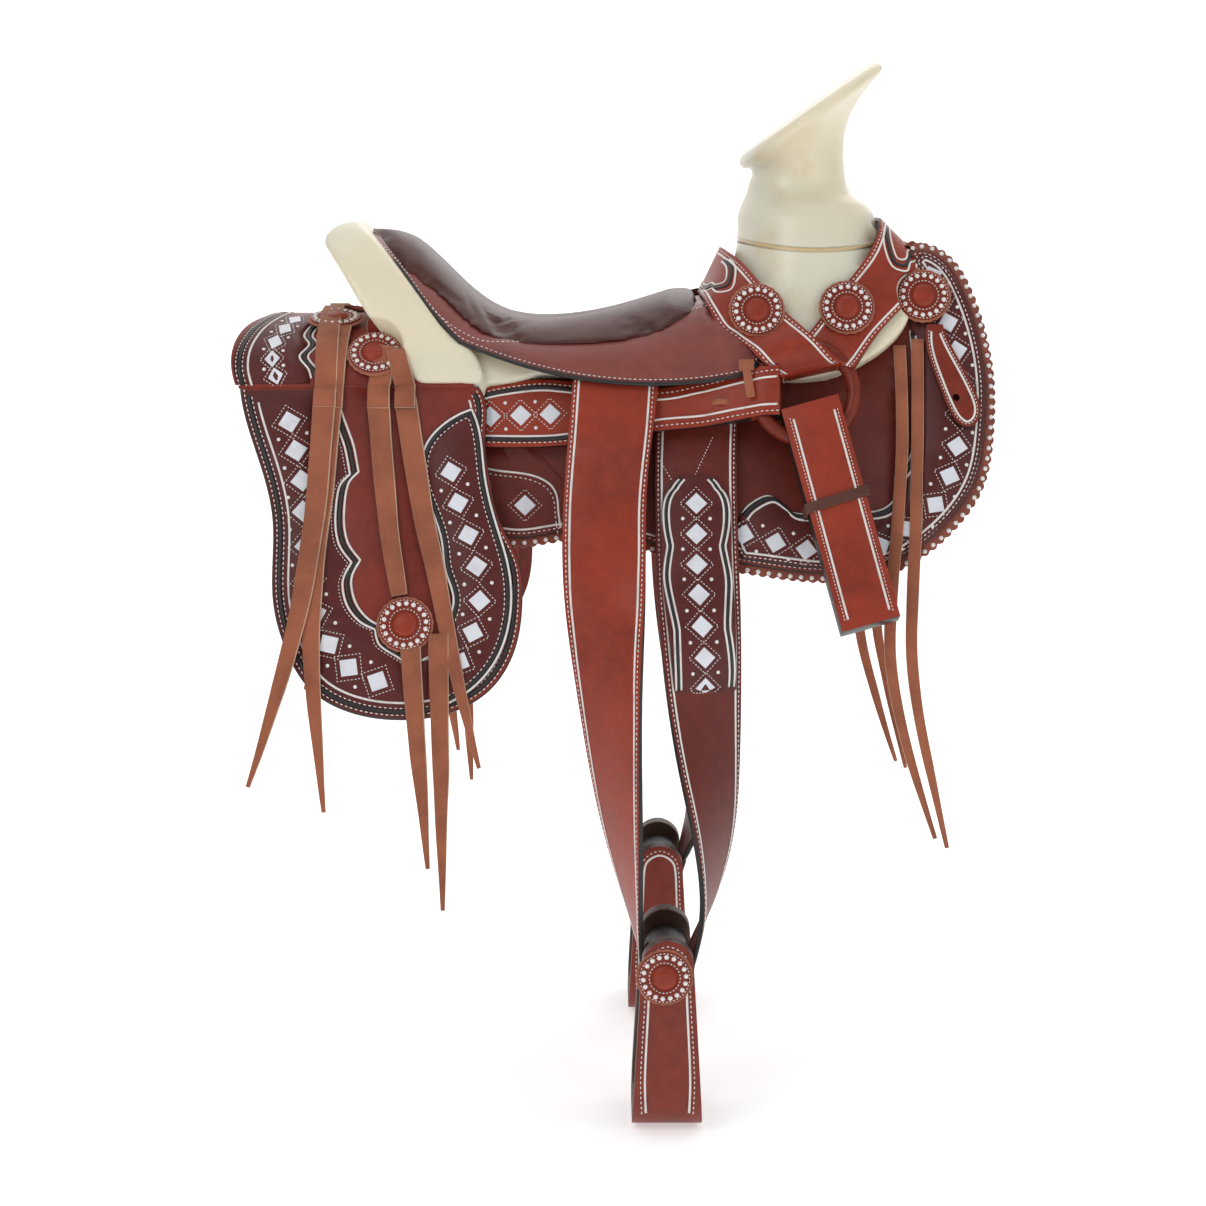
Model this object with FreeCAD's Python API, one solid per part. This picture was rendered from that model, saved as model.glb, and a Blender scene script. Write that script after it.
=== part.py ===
import FreeCAD, Part
import math
import os

V = FreeCAD.Vector

# ---------------------------------------------------------------- driving sizes, millimetres
# +X runs towards the horn, +Z up. The saddle is symmetric about y = 0 and the right side is y < 0.
SLOPE_DEG = 20.0            # the side sheets lean out this far from the vertical
ARCH_R = 110.0              # radius of the tree's underside over the rack or the back
RIDGE_Z = 25.0              # height of that arch at the centre plane
ARC_DEG = 90.0 - SLOPE_DEG  # the arch turns this far on each side before the straight slope

SKIRT_T = 4.0               # skirt leather
TRIM_T = 3.0                # scalloped edging sheet under the skirt
LINING_T = 18.0             # fleece lining
BORDER_T = 3.0              # decorated border sewn on the skirt
BAR_T = 22.0                # wooden bars of the tree, with their rawhide

BAG_LOW = 24.0              # inner face of the saddlebag's flap and yoke above the slope
BAG_T = 4.0
POCKET_WALL = 3.0
POCKET_DEPTH = 22.0

LEATHER_T = 5.0             # stirrup leathers
REAR_LEG_LOW = 30.0
FRONT_LEG_LOW = 8.0
OVERLAY_T = 3.0
LEATHER_HALF = 39.0

RING_X = 191.0
RING_DROP = 8.0
RING_D = 33.0
RING_R = 46.0
RING_TUBE = 7.0
RING_GAP = 0.5

BOLT_X = 60.0
BOLT_Y = -200.0
BOLT_Z = -575.0
BOLT_R = 5.0
BOLT_GAP = 0.4
ROLLER_R = 20.0
ROLLER_HALF = 48.5
WRAP_R = 20.6
POST_IN = 50.0
POST_OUT = 68.0
COVER_T = 4.0
STIRRUP_BOTTOM = -727.0
TREAD_T = 20.0

SEAT_LOW = 36.0
SEAT_T = 4.0

ROSETTE_R = 24.5
ROSETTE_BASE_R = 26.5
STRING_T = 3.0

SIN = math.sin(math.radians(SLOPE_DEG))
COS = math.cos(math.radians(SLOPE_DEG))
FOOT_Y = -ARCH_R * math.sin(math.radians(ARC_DEG))
FOOT_Z = RIDGE_Z - ARCH_R + ARCH_R * math.cos(math.radians(ARC_DEG))
DOWN = V(0, -SIN, -COS)
OUT = V(0, -COS, SIN)
FORWARD = V(1, 0, 0)

parts = {}


# ---------------------------------------------------------------- helpers
def at(x, drop, out):
    """A point of the right side: along the saddle, down the slope, and out from it."""
    return V(x, FOOT_Y, FOOT_Z) + DOWN * drop + OUT * out


def mirrored(shape):
    return shape.mirror(V(0, 0, 0), V(0, 1, 0))


def biggest(shape):
    return max(shape.Solids, key=lambda solid: solid.Volume)


def pair(name, shape):
    parts[name + "_right"] = shape
    parts[name + "_left"] = mirrored(shape)


def edge_through(points):
    """A straight edge through two points, or a smooth one through more."""
    if len(points) == 2:
        return Part.makeLine(points[0], points[1])
    spline = Part.BSplineCurve()
    spline.interpolate(points)
    return spline.toShape()


def closed_wire(runs, point):
    """A closed wire; each run is smooth, and runs meet at corners."""
    edges = []
    for index, run in enumerate(runs):
        following = runs[(index + 1) % len(runs)]
        points = [point(*pair_) for pair_ in run]
        if run[-1] != following[0]:
            points = points + [point(*following[0])]
        edges.append(edge_through(points))
    return Part.Wire(Part.__sortEdges__(edges))


def smooth_wire(points):
    spline = Part.BSplineCurve()
    spline.interpolate(points, True)
    return Part.Wire([spline.toShape()])


def slab(runs, low, high):
    """A sheet on the right slope, from (x, drop) runs."""
    wire = closed_wire(runs, lambda x, drop: at(x, drop, low))
    return Part.Face(wire).extrude(OUT * (high - low))


def side_prism(runs, reach=330.0):
    """A prism across the saddle, from (x, z) runs."""
    wire = closed_wire(runs, lambda x, z: V(x, -reach, z))
    return Part.Face(wire).extrude(V(0, 2 * reach, 0))


def under(out):
    """The space inside the arch and the two slopes, for sheets lying out this far."""
    radius = ARCH_R + out
    top = V(-600, 0, RIDGE_Z + out)
    right = V(-600, -radius * COS, RIDGE_Z - ARCH_R + radius * SIN)
    left = V(-600, -right.y, right.z)
    low_right = right + DOWN * 500
    low_left = V(-600, -low_right.y, low_right.z)
    edges = [Part.Arc(right, top, left).toShape(), Part.makeLine(left, low_left),
             Part.makeLine(low_left, low_right), Part.makeLine(low_right, right)]
    return Part.Face(Part.Wire(edges)).extrude(V(1200, 0, 0))


def ribbon(stations):
    """A strap lofted through (edge, other edge, outward direction, thickness) stations."""
    wires = []
    for one, two, normal, thick in stations:
        across = (two - one).normalize()
        out = normal - across * normal.dot(across)
        out = out.normalize() * thick
        wires.append(Part.makePolygon([one, two, two + out, one + out, one]))
    return Part.makeLoft(wires, True, False)


def ring_at_height(centre, half_x, half_y, tilt_deg=0.0, power=2.0):
    """A flat ring of the horn; its front is raised by the tilt, and a power over 2 squares it."""
    tilt = math.radians(tilt_deg)
    major = V(math.cos(tilt), 0, math.sin(tilt))
    points = []
    for step in range(24):
        turn = math.radians(15.0 * step)
        along = math.copysign(abs(math.cos(turn)) ** (2.0 / power), math.cos(turn))
        across_ = math.copysign(abs(math.sin(turn)) ** (2.0 / power), math.sin(turn))
        points.append(centre + major * (half_x * along) + V(0, half_y * across_, 0))
    return smooth_wire(points)


def rosette(centre, normal, stem=0.0):
    """A leather rosette: a wide base, a plate and a small dome, stacked outwards."""
    base = Part.makeCylinder(ROSETTE_BASE_R, 2.0, centre, normal)
    plate = Part.makeCylinder(ROSETTE_R, 4.0, centre, normal)
    dome = Part.makeCylinder(11.0, 7.0, centre, normal)
    solid = base.fuse([plate, dome])
    if stem > 0:
        solid = solid.fuse(Part.makeCylinder(7.0, stem, centre - normal * stem, normal))
    return solid.removeSplitter()


def free_string(path, widths, thick=STRING_T, outward=OUT):
    """A flat string through centre points, tapering along its widths."""
    stations = []
    for index, point in enumerate(path):
        before = path[max(index - 1, 0)]
        after = path[min(index + 1, len(path) - 1)]
        along = (after - before).normalize()
        across = along.cross(outward).normalize() * (widths[index] / 2.0)
        stations.append((point - across, point + across, outward, thick))
    return ribbon(stations)


def hanging(x, drop, out, z):
    """A point below the slope sheets, straight under the slope point given."""
    start = at(x, drop, out)
    return V(x, start.y, z)


# ---------------------------------------------------------------- skirts, trim, lining and border
skirt_top = [(-232, -25), (200, -25)]
skirt_edge = [(240, -80), (292, -140), (311, -144), (329, -134), (346, -106), (360, -62), (367, -4),
              (365, 34), (353, 90), (331, 122), (304, 148), (272, 166), (231, 175), (129, 166), (92, 159),
              (-36, 135), (-83, 141), (-116, 135), (-190, 116), (-226, 60)]
skirt_runs = [skirt_top, [(200, -25)] + skirt_edge + [(-232, -25)]]
skirt = slab(skirt_runs, -SKIRT_T, 0)

trim_edge = [(236, -84), (288, -149), (311, -153), (335, -141), (355, -109), (369, -63), (376, -4),
             (374, 36), (361, 95), (338, 129), (309, 156), (276, 175), (233, 184), (129, 175), (92, 168),
             (-36, 144), (-83, 150), (-116, 144), (-194, 124), (-230, 62)]
trim_runs = [skirt_top, [(200, -25)] + trim_edge + [(-232, -25)]]
trim = slab(trim_runs, -SKIRT_T - TRIM_T, -SKIRT_T)

lining_edge = [(246, -78), (293, -134), (310, -138), (325, -128), (341, -104), (354, -60), (361, -4),
               (359, 33), (347, 87), (327, 117), (301, 142), (270, 160), (230, 168), (129, 159), (92, 152),
               (-36, 128), (-83, 134), (-116, 128), (-186, 110), (-222, 60)]
lining_runs = [[(-228, -22), (206, -22)], [(206, -22)] + lining_edge + [(-228, -22)]]
lining = slab(lining_runs, -SKIRT_T - TRIM_T - LINING_T, -SKIRT_T - TRIM_T)

border_outer = [(309, -140), (326, -131), (343, -104), (357, -61), (364, -4), (362, 33), (350, 88),
                (329, 120), (302, 145), (271, 163), (231, 172), (150, 165)]
border_runs = [border_outer + [(132, 163)],
               [(132, 163), (126, 128), (138, 112), (158, 103), (178, 118), (196, 121), (262, 119),
                (283, 108), (285, 86), (299, 60), (302, 10), (296, -60), (288, -120)],
               [(288, -120), (309, -140)]]
border = slab(border_runs, 0, BORDER_T)

# ---------------------------------------------------------------- tree bars
bar_runs = [[(-205, -95), (-212, -60)],
            [(-212, -60), (-186, -36), (-160, -14), (-112, -3), (-60, -14)],
            [(-60, -14), (150, -14)],
            [(150, -14), (216, -13), (254, -30), (288, -62), (297, -92), (290, -114)],
            [(290, -114), (270, -120)],
            [(270, -120), (170, -105), (120, -85), (80, -62), (40, -38)],
            [(40, -38), (-110, -38)],
            [(-110, -38), (-150, -66), (-205, -95)]]
bar = slab(bar_runs, 0, BAR_T)

# ---------------------------------------------------------------- saddlebag: yoke, flaps, borders, pockets
yoke_end = at(0, 0, BAG_LOW + BAG_T)
yoke_half = -yoke_end.y
yoke_rise = RIDGE_Z - yoke_end.z


def yoke_section(inset):
    """The closed half ellipse under the yoke, this far inside its outer face."""
    middle = V(-400, 0, yoke_end.z)
    ellipse = Part.Ellipse(middle + V(0, yoke_half - inset, 0), middle + V(0, 0, yoke_rise - inset), middle)
    arc = ellipse.toShape(0, math.pi)
    if arc.CenterOfMass.z < yoke_end.z:
        arc = ellipse.toShape(math.pi, 2 * math.pi)
    ends = [arc.Vertexes[0].Point, arc.Vertexes[-1].Point]
    return Part.Face(Part.Wire([arc, Part.makeLine(ends[1], ends[0])])).extrude(V(400, 0, 0))


yoke_runs = [[(-318, 30), (-318, 26)],
             [(-318, 26), (-326, 24), (-343, 16), (-351, 3), (-353, -15), (-348, -38)],
             [(-348, -38), (-348, -45)], [(-348, -45), (-118, -45)], [(-118, -45), (-118, -38)],
             [(-118, -38), (-141, -34), (-165, -28), (-194, -16), (-214, -8), (-222, 3), (-228, 14), (-229, 26)],
             [(-229, 26), (-229, 30)], [(-229, 30), (-318, 30)]]
yoke = yoke_section(0).cut(yoke_section(BAG_T)).common(side_prism(yoke_runs))
yoke_trim = Part.makeBox(500, 400, 10, V(-450, -200, yoke_end.z - 9.7))
yoke = yoke.cut(yoke_trim)
parts["saddlebag_yoke"] = yoke

flap_runs = [[(-118, 1), (-344, 1)],
             [(-344, 1), (-340, 24), (-321, 83), (-310, 131), (-308, 208), (-295, 255), (-271, 293),
              (-234, 314), (-188, 321), (-151, 317), (-105, 293), (-82, 255), (-75, 208), (-79, 169),
              (-97, 131), (-106, 92), (-111, 53), (-112, 12), (-118, 1)]]
flap = slab(flap_runs, BAG_LOW, BAG_LOW + BAG_T)
pair("saddlebag_flap", flap)

wing_runs = [[(-123, 22), (-150, 36), (-170, 62), (-172, 92), (-160, 128), (-152, 156), (-149, 180), (-141, 208),
              (-148, 232), (-157, 258), (-158, 284), (-153, 311)],
             [(-153, 311), (-128, 299), (-99, 268), (-85, 225), (-86, 180), (-100, 130), (-110, 85), (-115, 45),
              (-123, 22)]]
pair("saddlebag_border", slab(wing_runs, BAG_LOW + BAG_T, BAG_LOW + BAG_T + 2.0))

pocket_runs = [[(-128, 46), (-318, 46)],
               [(-318, 46), (-306, 84), (-297, 131), (-295, 208), (-283, 250), (-261, 283), (-230, 301),
                (-188, 307), (-155, 303), (-114, 282), (-95, 250), (-89, 208), (-93, 172), (-111, 131),
                (-120, 92), (-128, 46)]]
inside_runs = [[(-131, 40), (-315, 40)],
               [(-315, 40), (-302, 85), (-293, 131), (-291, 208), (-279, 248), (-258, 279), (-228, 297),
                (-188, 303), (-157, 299), (-117, 279), (-99, 248), (-93, 208), (-97, 174), (-115, 133),
                (-124, 93), (-131, 40)]]
pocket = slab(pocket_runs, 1.0, 1.0 + POCKET_DEPTH)
pocket_room = slab(inside_runs, 1.0 + POCKET_WALL, 1.0 + POCKET_DEPTH - POCKET_WALL)
pair("saddlebag_pocket", pocket.cut(pocket_room))

# ---------------------------------------------------------------- cinch ring
ring_at = at(RING_X, RING_DROP, RING_D)
ring = Part.makeTorus(RING_R, RING_TUBE, ring_at, OUT)
ring_clear = Part.makeTorus(RING_R, RING_TUBE + RING_GAP, ring_at, OUT)
pair("cinch_ring", ring)

# ---------------------------------------------------------------- rigging straps over the fork
behind_half = [
    (at(225, -17, 23), at(168, -4, 23), OUT, 22.0),
    (at(207, -35, 23), at(151, -18, 23), OUT, 22.0),
    (at(190, -52, 23), at(139, -31, 23), OUT, 21.0),
    (at(172, -72, 29), at(123, -46, 29), OUT, 5.0),
    (at(158, -88, 28), at(110, -57, 29), OUT, 4.5),
    (V(137, -72, 72), V(99, -84, 38), V(-0.55, -0.62, 0.55), 4.5),
    (V(124, -40, 84), V(98, -46, 42), V(-0.82, -0.3, 0.5), 4.5),
]
behind_mid = (V(119, 0, 88), V(98, 0, 44), V(-0.9, 0, 0.43), 4.5)


def across(half, middle):
    """The whole strap, from the right ring over the tree to the left ring."""
    other = []
    for one, two, normal, thick in reversed(half):
        other.append((V(one.x, -one.y, one.z), V(two.x, -two.y, two.z), V(normal.x, -normal.y, normal.z), thick))
    return ribbon(half + [middle] + other)


strap_behind = across(behind_half, behind_mid).cut([ring, mirrored(ring)])

before_half = [
    (at(180, -22, 23), at(236, -14, 23), OUT, 20.0),
    (at(188, -40, 23), at(242, -22, 23), OUT, 13.0),
    (at(205, -64, 24), at(262, -52, 24), OUT, 4.5),
    (at(230, -98, 25), at(290, -82, 24), OUT, 4.5),
    (V(255, -74, 86), V(301, -82, 50), V(0.45, -0.6, 0.66), 4.5),
    (V(266, -40, 113), V(305, -44, 75), V(0.62, -0.25, 0.74), 4.5),
]
before_mid = (V(267, 0, 115), V(305, 0, 76), V(0.68, 0, 0.73), 4.5)
strap_before = across(before_half, before_mid).cut([ring, mirrored(ring)])
strap_before = strap_before.cut(strap_behind)

# ---------------------------------------------------------------- side strap, under the rear leg, over the front one
side_profile = [(-122, 10), (-60, 12), (49, 18), (96, 22), (124, 22.5), (167, 22.5), (169, 33), (166, 44),
                (150, 44), (132, 36), (96, 27), (49, 22.5), (-60, 16.5), (-122, 14.5)]
profile_wire = Part.makePolygon([at(x, -60, out) for x, out in side_profile + side_profile[:1]])
side_profile_solid = Part.Face(profile_wire).extrude(DOWN * 160)
side_runs = [[(-119, 1), (-95, -5), (-60, -9), (-27, -6), (49, 2), (92, -4), (130, -11), (168, -16)],
             [(168, -16), (168, 33)],
             [(168, 33), (130, 35), (92, 40), (49, 43), (-31, 55), (-69, 57), (-119, 56)],
             [(-119, 56), (-119, 1)]]
side_strap = side_profile_solid.common(slab(side_runs, 0, 60)).cut(ring).cut(strap_behind).cut(strap_before)
side_strap = side_strap.cut(pocket)
pair("side_strap", side_strap)

# ---------------------------------------------------------------- seat: leather and pad
# Each section is (x, half width points from the centre out to the hem).
seat_sections = [
    (-238, [(0, 111), (50, 104), (84, 84), (103, 54), (116, 16), (132, -26)]),
    (-200, [(0, 92), (56, 87), (92, 66), (110, 38), (122, 6), (138, -32)]),
    (-150, [(0, 52), (60, 50), (100, 38), (120, 18), (130, -1), (143, -38)]),
    (-100, [(0, 13), (60, 14), (100, 10), (121, 2), (132, -9), (144, -41)]),
    (-50, [(0, 6), (60, 8), (100, 4), (121, -2), (132, -10), (144, -41)]),
    (10, [(0, 14), (60, 14), (100, 8), (121, 0), (132, -10), (144, -41)]),
    (60, [(0, 32), (55, 30), (92, 22), (115, 10), (128, -6), (143, -38)]),
    (105, [(0, 44), (52, 42), (88, 38), (109, 26), (124, 4), (142, -36)]),
    (152, [(0, 52), (50, 50), (86, 44), (108, 30), (124, 4), (142, -36)]),
]


def whole_section(half):
    """Right hem to left hem."""
    right = [(-y, z) for y, z in reversed(half)]
    return right + [(y, z) for y, z in half[1:]]


def lowered(points, depth):
    """The same section moved inwards along its own normal."""
    moved = []
    for index, (y, z) in enumerate(points):
        y0, z0 = points[max(index - 1, 0)]
        y1, z1 = points[min(index + 1, len(points) - 1)]
        run = math.hypot(y1 - y0, z1 - z0)
        moved.append((y + (z1 - z0) / run * depth, z - (y1 - y0) / run * depth))
    return moved


leather_wires = []
for x, half in seat_sections:
    outer = whole_section(half)
    inner = lowered(outer, SEAT_T)
    top_edge = edge_through([V(x, y, z) for y, z in outer])
    low_edge = edge_through([V(x, y, z) for y, z in inner])
    ends = [Part.makeLine(V(x, *outer[0]), V(x, *inner[0])),
            Part.makeLine(V(x, *outer[-1]), V(x, *inner[-1]))]
    leather_wires.append(Part.Wire(Part.__sortEdges__([top_edge, ends[1], low_edge, ends[0]])))
seat_shell = Part.makeLoft(leather_wires, True, False)
cantle_front = [(-237, 114), (-197, 74), (-166, 34), (-140, 6), (-127, -1)]
seat_outline = [cantle_front,
                [(-127, -1), (-88, -15), (-50, -25), (-12, -32), (35, -36), (82, -35), (120, -30),
                 (140, -25), (147, -18), (146, -8), (137, 0), (119, 13), (104, 28), (98, 44)],
                [(98, 44), (98, 90)], [(98, 90), (-237, 150)], [(-237, 150), (-237, 114)]]
seat_leather = seat_shell.common(side_prism(seat_outline)).cut([strap_behind, ring_clear, mirrored(ring_clear)])
seat_leather = seat_leather.cut([side_strap, mirrored(side_strap)])
parts["seat_leather"] = seat_leather

pad_sections = [
    (-230, 52, 5, 115), (-200, 84, 9, 103), (-150, 108, 10, 63), (-100, 118, 10, 24), (-50, 120, 10, 16),
    (10, 120, 10, 26), (60, 112, 9, 42), (94, 98, 5, 47),
]


def seat_height(x, y):
    """The seat leather's upper surface, between the sections."""
    y = abs(y)
    rows = []
    for x0, half in seat_sections:
        for (ya, za), (yb, zb) in zip(half[:-1], half[1:]):
            if ya <= y <= yb:
                rows.append((x0, za + (zb - za) * (y - ya) / (yb - ya)))
                break
    for (xa, za), (xb, zb) in zip(rows[:-1], rows[1:]):
        if xa <= x <= xb:
            return za + (zb - za) * (x - xa) / (xb - xa)
    return rows[-1][1]


pad_wires = []
for x, half_width, rise, centre_z in pad_sections:
    lift = centre_z - seat_height(x, 0)
    rim = [V(x, half_width * part, seat_height(x, half_width * part) - 9) for part in (-1, -0.5, 0, 0.5, 1)]
    crown = []
    for part in (-1, -0.8, -0.5, 0, 0.5, 0.8, 1):
        share = max(0.0, 1 - abs(part) ** 3.0)
        crown.append(V(x, half_width * part, seat_height(x, half_width * part) + 1 + (lift - 1) * share))
    sides = [Part.makeLine(rim[0], crown[0]), Part.makeLine(rim[-1], crown[-1])]
    pad_wires.append(Part.Wire(Part.__sortEdges__([edge_through(rim), sides[1], edge_through(crown), sides[0]])))
pad_block = Part.makeLoft(pad_wires, True, False)
seat_under = []
for x, half in seat_sections:
    points = [(-150, -260)] + whole_section(half) + [(150, -260)]
    outer = [V(x, y, z) for y, z in whole_section(half)]
    floor = [V(x, 150, -260), V(x, -150, -260)]
    edges = [edge_through(outer), Part.makeLine(outer[-1], floor[0]), Part.makeLine(floor[0], floor[1]),
             Part.makeLine(floor[1], outer[0])]
    seat_under.append(Part.Wire(Part.__sortEdges__(edges)))
seat_mass = Part.makeLoft(seat_under, True, False)
seat_pad = pad_block.cut(seat_mass).common(side_prism(seat_outline)).cut(strap_behind)
seat_pad = biggest(seat_pad)
parts["seat_pad"] = seat_pad

# ---------------------------------------------------------------- where the fixed rosettes sit
rosette_places = [(at(146, -72, 34.5), OUT, 0.0), (at(232, -76, 30.5), OUT, 0.0), (at(307, -94, 10), OUT, 7.0)]
for share, x in ((0.91, -216.0), (0.49, -258.0)):
    across_y = yoke_half * share
    up_z = yoke_rise * math.sqrt(1 - share * share)
    normal = V(0, -across_y / yoke_half ** 2, up_z / yoke_rise ** 2).normalize()
    rosette_places.append((V(x, -across_y, yoke_end.z + up_z) + normal * 4.0, normal, 2.0))
rosette_seats = []
for place, normal, stem in rosette_places:
    seat_room = Part.makeCylinder(ROSETTE_BASE_R + 0.5, 30.0 + stem, place - normal * stem, normal)
    rosette_seats += [seat_room, mirrored(seat_room)]

# ---------------------------------------------------------------- cantle
cantle_side = [[(-171, -40), (-196, -12), (-231, 40), (-266, 92)],
               [(-266, 92), (-268, 98), (-263, 107), (-250, 114), (-237, 114)],
               cantle_front,
               [(-127, -1), (-119, -12), (-112, -49)],
               [(-112, -49), (-171, -40)]]
cantle_rear = [(0, 118), (42, 112), (80, 94), (107, 62), (124, 20), (131, -20), (133, -60)]
arch_points = [V(-300, -y, z) for y, z in reversed(cantle_rear)] + [V(-300, y, z) for y, z in cantle_rear[1:]]
arch_face = Part.Face(Part.Wire([edge_through(arch_points), Part.makeLine(arch_points[-1], arch_points[0])]))
cantle = side_prism(cantle_side).common(arch_face.extrude(V(220, 0, 0)))
cantle = cantle.cut(under(0)).cut([bar, mirrored(bar), yoke])

# ---------------------------------------------------------------- fork and horn
bell_rings = [
    (V(196, 0, -12), 82, 113, 0, 2.6), (V(198, 0, 30), 79, 101, 0, 2.6), (V(202, 0, 62), 76, 93, 0, 2.5),
    (V(202, 0, 92), 70, 82, 0, 2.3), (V(199, 0, 122), 66.5, 69, 0, 2.1), (V(197, 0, 132), 61, 62, 0, 2.0),
    (V(192, 0, 142), 51, 51, 0, 2.0), (V(190.5, 0, 152), 47.5, 46, 0, 2.0),
]
horn_rings = [
    (V(190.5, 0, 152), 47.5, 46, 0), (V(190.5, 0, 166), 46, 44.5, 12), (V(191.5, 0, 180), 48, 46.5, 22),
    (V(194, 0, 192), 54, 53, 29), (V(198, 0, 202), 64, 63, 33), (V(203.5, 0, 211), 78, 77, 35),
    (V(204.5, 0, 214), 83, 82, 35), (V(203.5, 0, 217), 84.5, 83.5, 35), (V(201.5, 0, 221), 83, 82, 35),
    (V(199.5, 0, 224), 78, 77, 35),
]
bell = Part.makeLoft([ring_at_height(*ring_) for ring_ in bell_rings], True, True)
front_block = side_prism([[(232, 20), (232, 118)], [(232, 118), (262, 110)], [(262, 110), (302, 72)],
                          [(302, 72), (302, 40), (296, 10)], [(296, 10), (232, 20)]], 44)
horn = Part.makeLoft([ring_at_height(*ring_) for ring_ in horn_rings], True, True)
fork = bell.fuse([horn, front_block]).cut(under(0))
fork = fork.cut([bar, mirrored(bar)]).cut([strap_behind, strap_before]).cut([seat_leather, seat_pad])
fork = fork.cut([ring_clear, mirrored(ring_clear)] + rosette_seats)
parts["horn_and_fork"] = biggest(fork)
strap_behind = strap_behind.cut(rosette_seats)
parts["rigging_strap_behind_horn"] = biggest(strap_behind)
strap_before = strap_before.cut(rosette_seats)
parts["rigging_strap_before_horn"] = biggest(strap_before)
flap_room = slab([[(-240, -2), (-100, -2)], [(-100, -2), (-100, 60)], [(-100, 60), (-240, 60)],
                  [(-240, 60), (-240, -2)]], BAG_LOW - 1.0, 80)
cantle = cantle.cut(rosette_seats + [flap_room, mirrored(flap_room), side_strap, mirrored(side_strap)])
parts["cantle"] = biggest(cantle)
bar = bar.cut([yoke, strap_behind, strap_before, side_strap, seat_leather] + rosette_seats)
pair("bar", biggest(bar))
over_skirts = [parts["cantle"], parts["horn_and_fork"], strap_before, strap_behind]
pair("skirt", biggest(skirt.cut(over_skirts)))
pair("skirt_trim", biggest(trim.cut(over_skirts)))
pair("skirt_lining", biggest(lining.cut(over_skirts)))
pair("skirt_border", biggest(border.cut(over_skirts + [bar])))

# ---------------------------------------------------------------- stirrup leathers
def turned(angle_deg, sign):
    """Across and outward directions of a hanging leg twisted by this angle."""
    turn = math.radians(angle_deg)
    across_ = V(math.cos(turn), sign * math.sin(turn), 0)
    outward = V(sign * math.sin(turn), -math.cos(turn), 0)
    return across_, outward


def leg(on_slope, low, hanging_rows, sign):
    """A leg from (x, half width, drop) rows on the slope and (x, y, z, twist) rows below."""
    stations = []
    for x, half, drop in on_slope:
        stations.append((at(x - half, drop, low), at(x + half, drop, low), OUT, LEATHER_T))
    for x, y, z, twist in hanging_rows:
        across_, outward = turned(twist, sign)
        middle = V(x, y, z) - outward * (LEATHER_T / 2)
        stations.append((middle - across_ * LEATHER_HALF, middle + across_ * LEATHER_HALF, outward, LEATHER_T))
    return ribbon(stations)


wrap_mid = WRAP_R + LEATHER_T / 2
rear_leg = leg([(12, 40, -15), (8, 40, 40), (2, 39, 110), (1, 39, 170)], REAR_LEG_LOW,
               [(2, -202, -245, 20), (5, -204, -310, 38), (12, -204, -400, 54), (22, -202, -485, 70),
                (BOLT_X - wrap_mid, BOLT_Y, BOLT_Z, 90)], -1)
wrap_outer = Part.makeCylinder(WRAP_R + LEATHER_T, 2 * LEATHER_HALF, V(BOLT_X, BOLT_Y - LEATHER_HALF, BOLT_Z),
                               V(0, 1, 0))
wrap_inner = Part.makeCylinder(WRAP_R, 2 * LEATHER_HALF, V(BOLT_X, BOLT_Y - LEATHER_HALF, BOLT_Z), V(0, 1, 0))
wrap_box = Part.makeBox(80, 100, 60, V(BOLT_X - 40, BOLT_Y - 50, BOLT_Z - 60))
rear_leg = rear_leg.fuse(wrap_outer.cut(wrap_inner).common(wrap_box)).removeSplitter()
front_leg = leg([(90, 39, 20), (88, 39, 70), (88, 39, 120), (89, 39, 170)], FRONT_LEG_LOW,
                [(90, -184, -235, 4), (94, -189, -310, 22), (100, -194, -390, 42), (105, -198, -470, 64),
                 (99, -200, -525, 80), (BOLT_X + wrap_mid, BOLT_Y, BOLT_Z, 90)], 1)
pair("stirrup_leather_rear_leg", rear_leg)
pair("stirrup_leather_front_leg", front_leg)

# ---------------------------------------------------------------- overlay on the decorated leg
overlay_rows = [(88, 12, 84), (88, 30, 100), (88, 33, 130), (88, 33, 168)]
overlay_stations = []
for x, half, drop in overlay_rows:
    overlay_stations.append((at(x - half, drop, FRONT_LEG_LOW + LEATHER_T),
                             at(x + half, drop, FRONT_LEG_LOW + LEATHER_T), OUT, OVERLAY_T))
for x, y, z, twist, half in [(90, -184, -235, 4, 33), (94, -189, -310, 22, 32), (100, -194, -390, 42, 27),
                             (104, -197, -440, 56, 10)]:
    across_, outward = turned(twist, 1)
    middle = V(x, y, z) + outward * (LEATHER_T / 2)
    overlay_stations.append((middle - across_ * half, middle + across_ * half, outward, OVERLAY_T))
leather_overlay = ribbon(overlay_stations).cut(front_leg)
pair("leather_overlay", biggest(leather_overlay))

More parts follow.
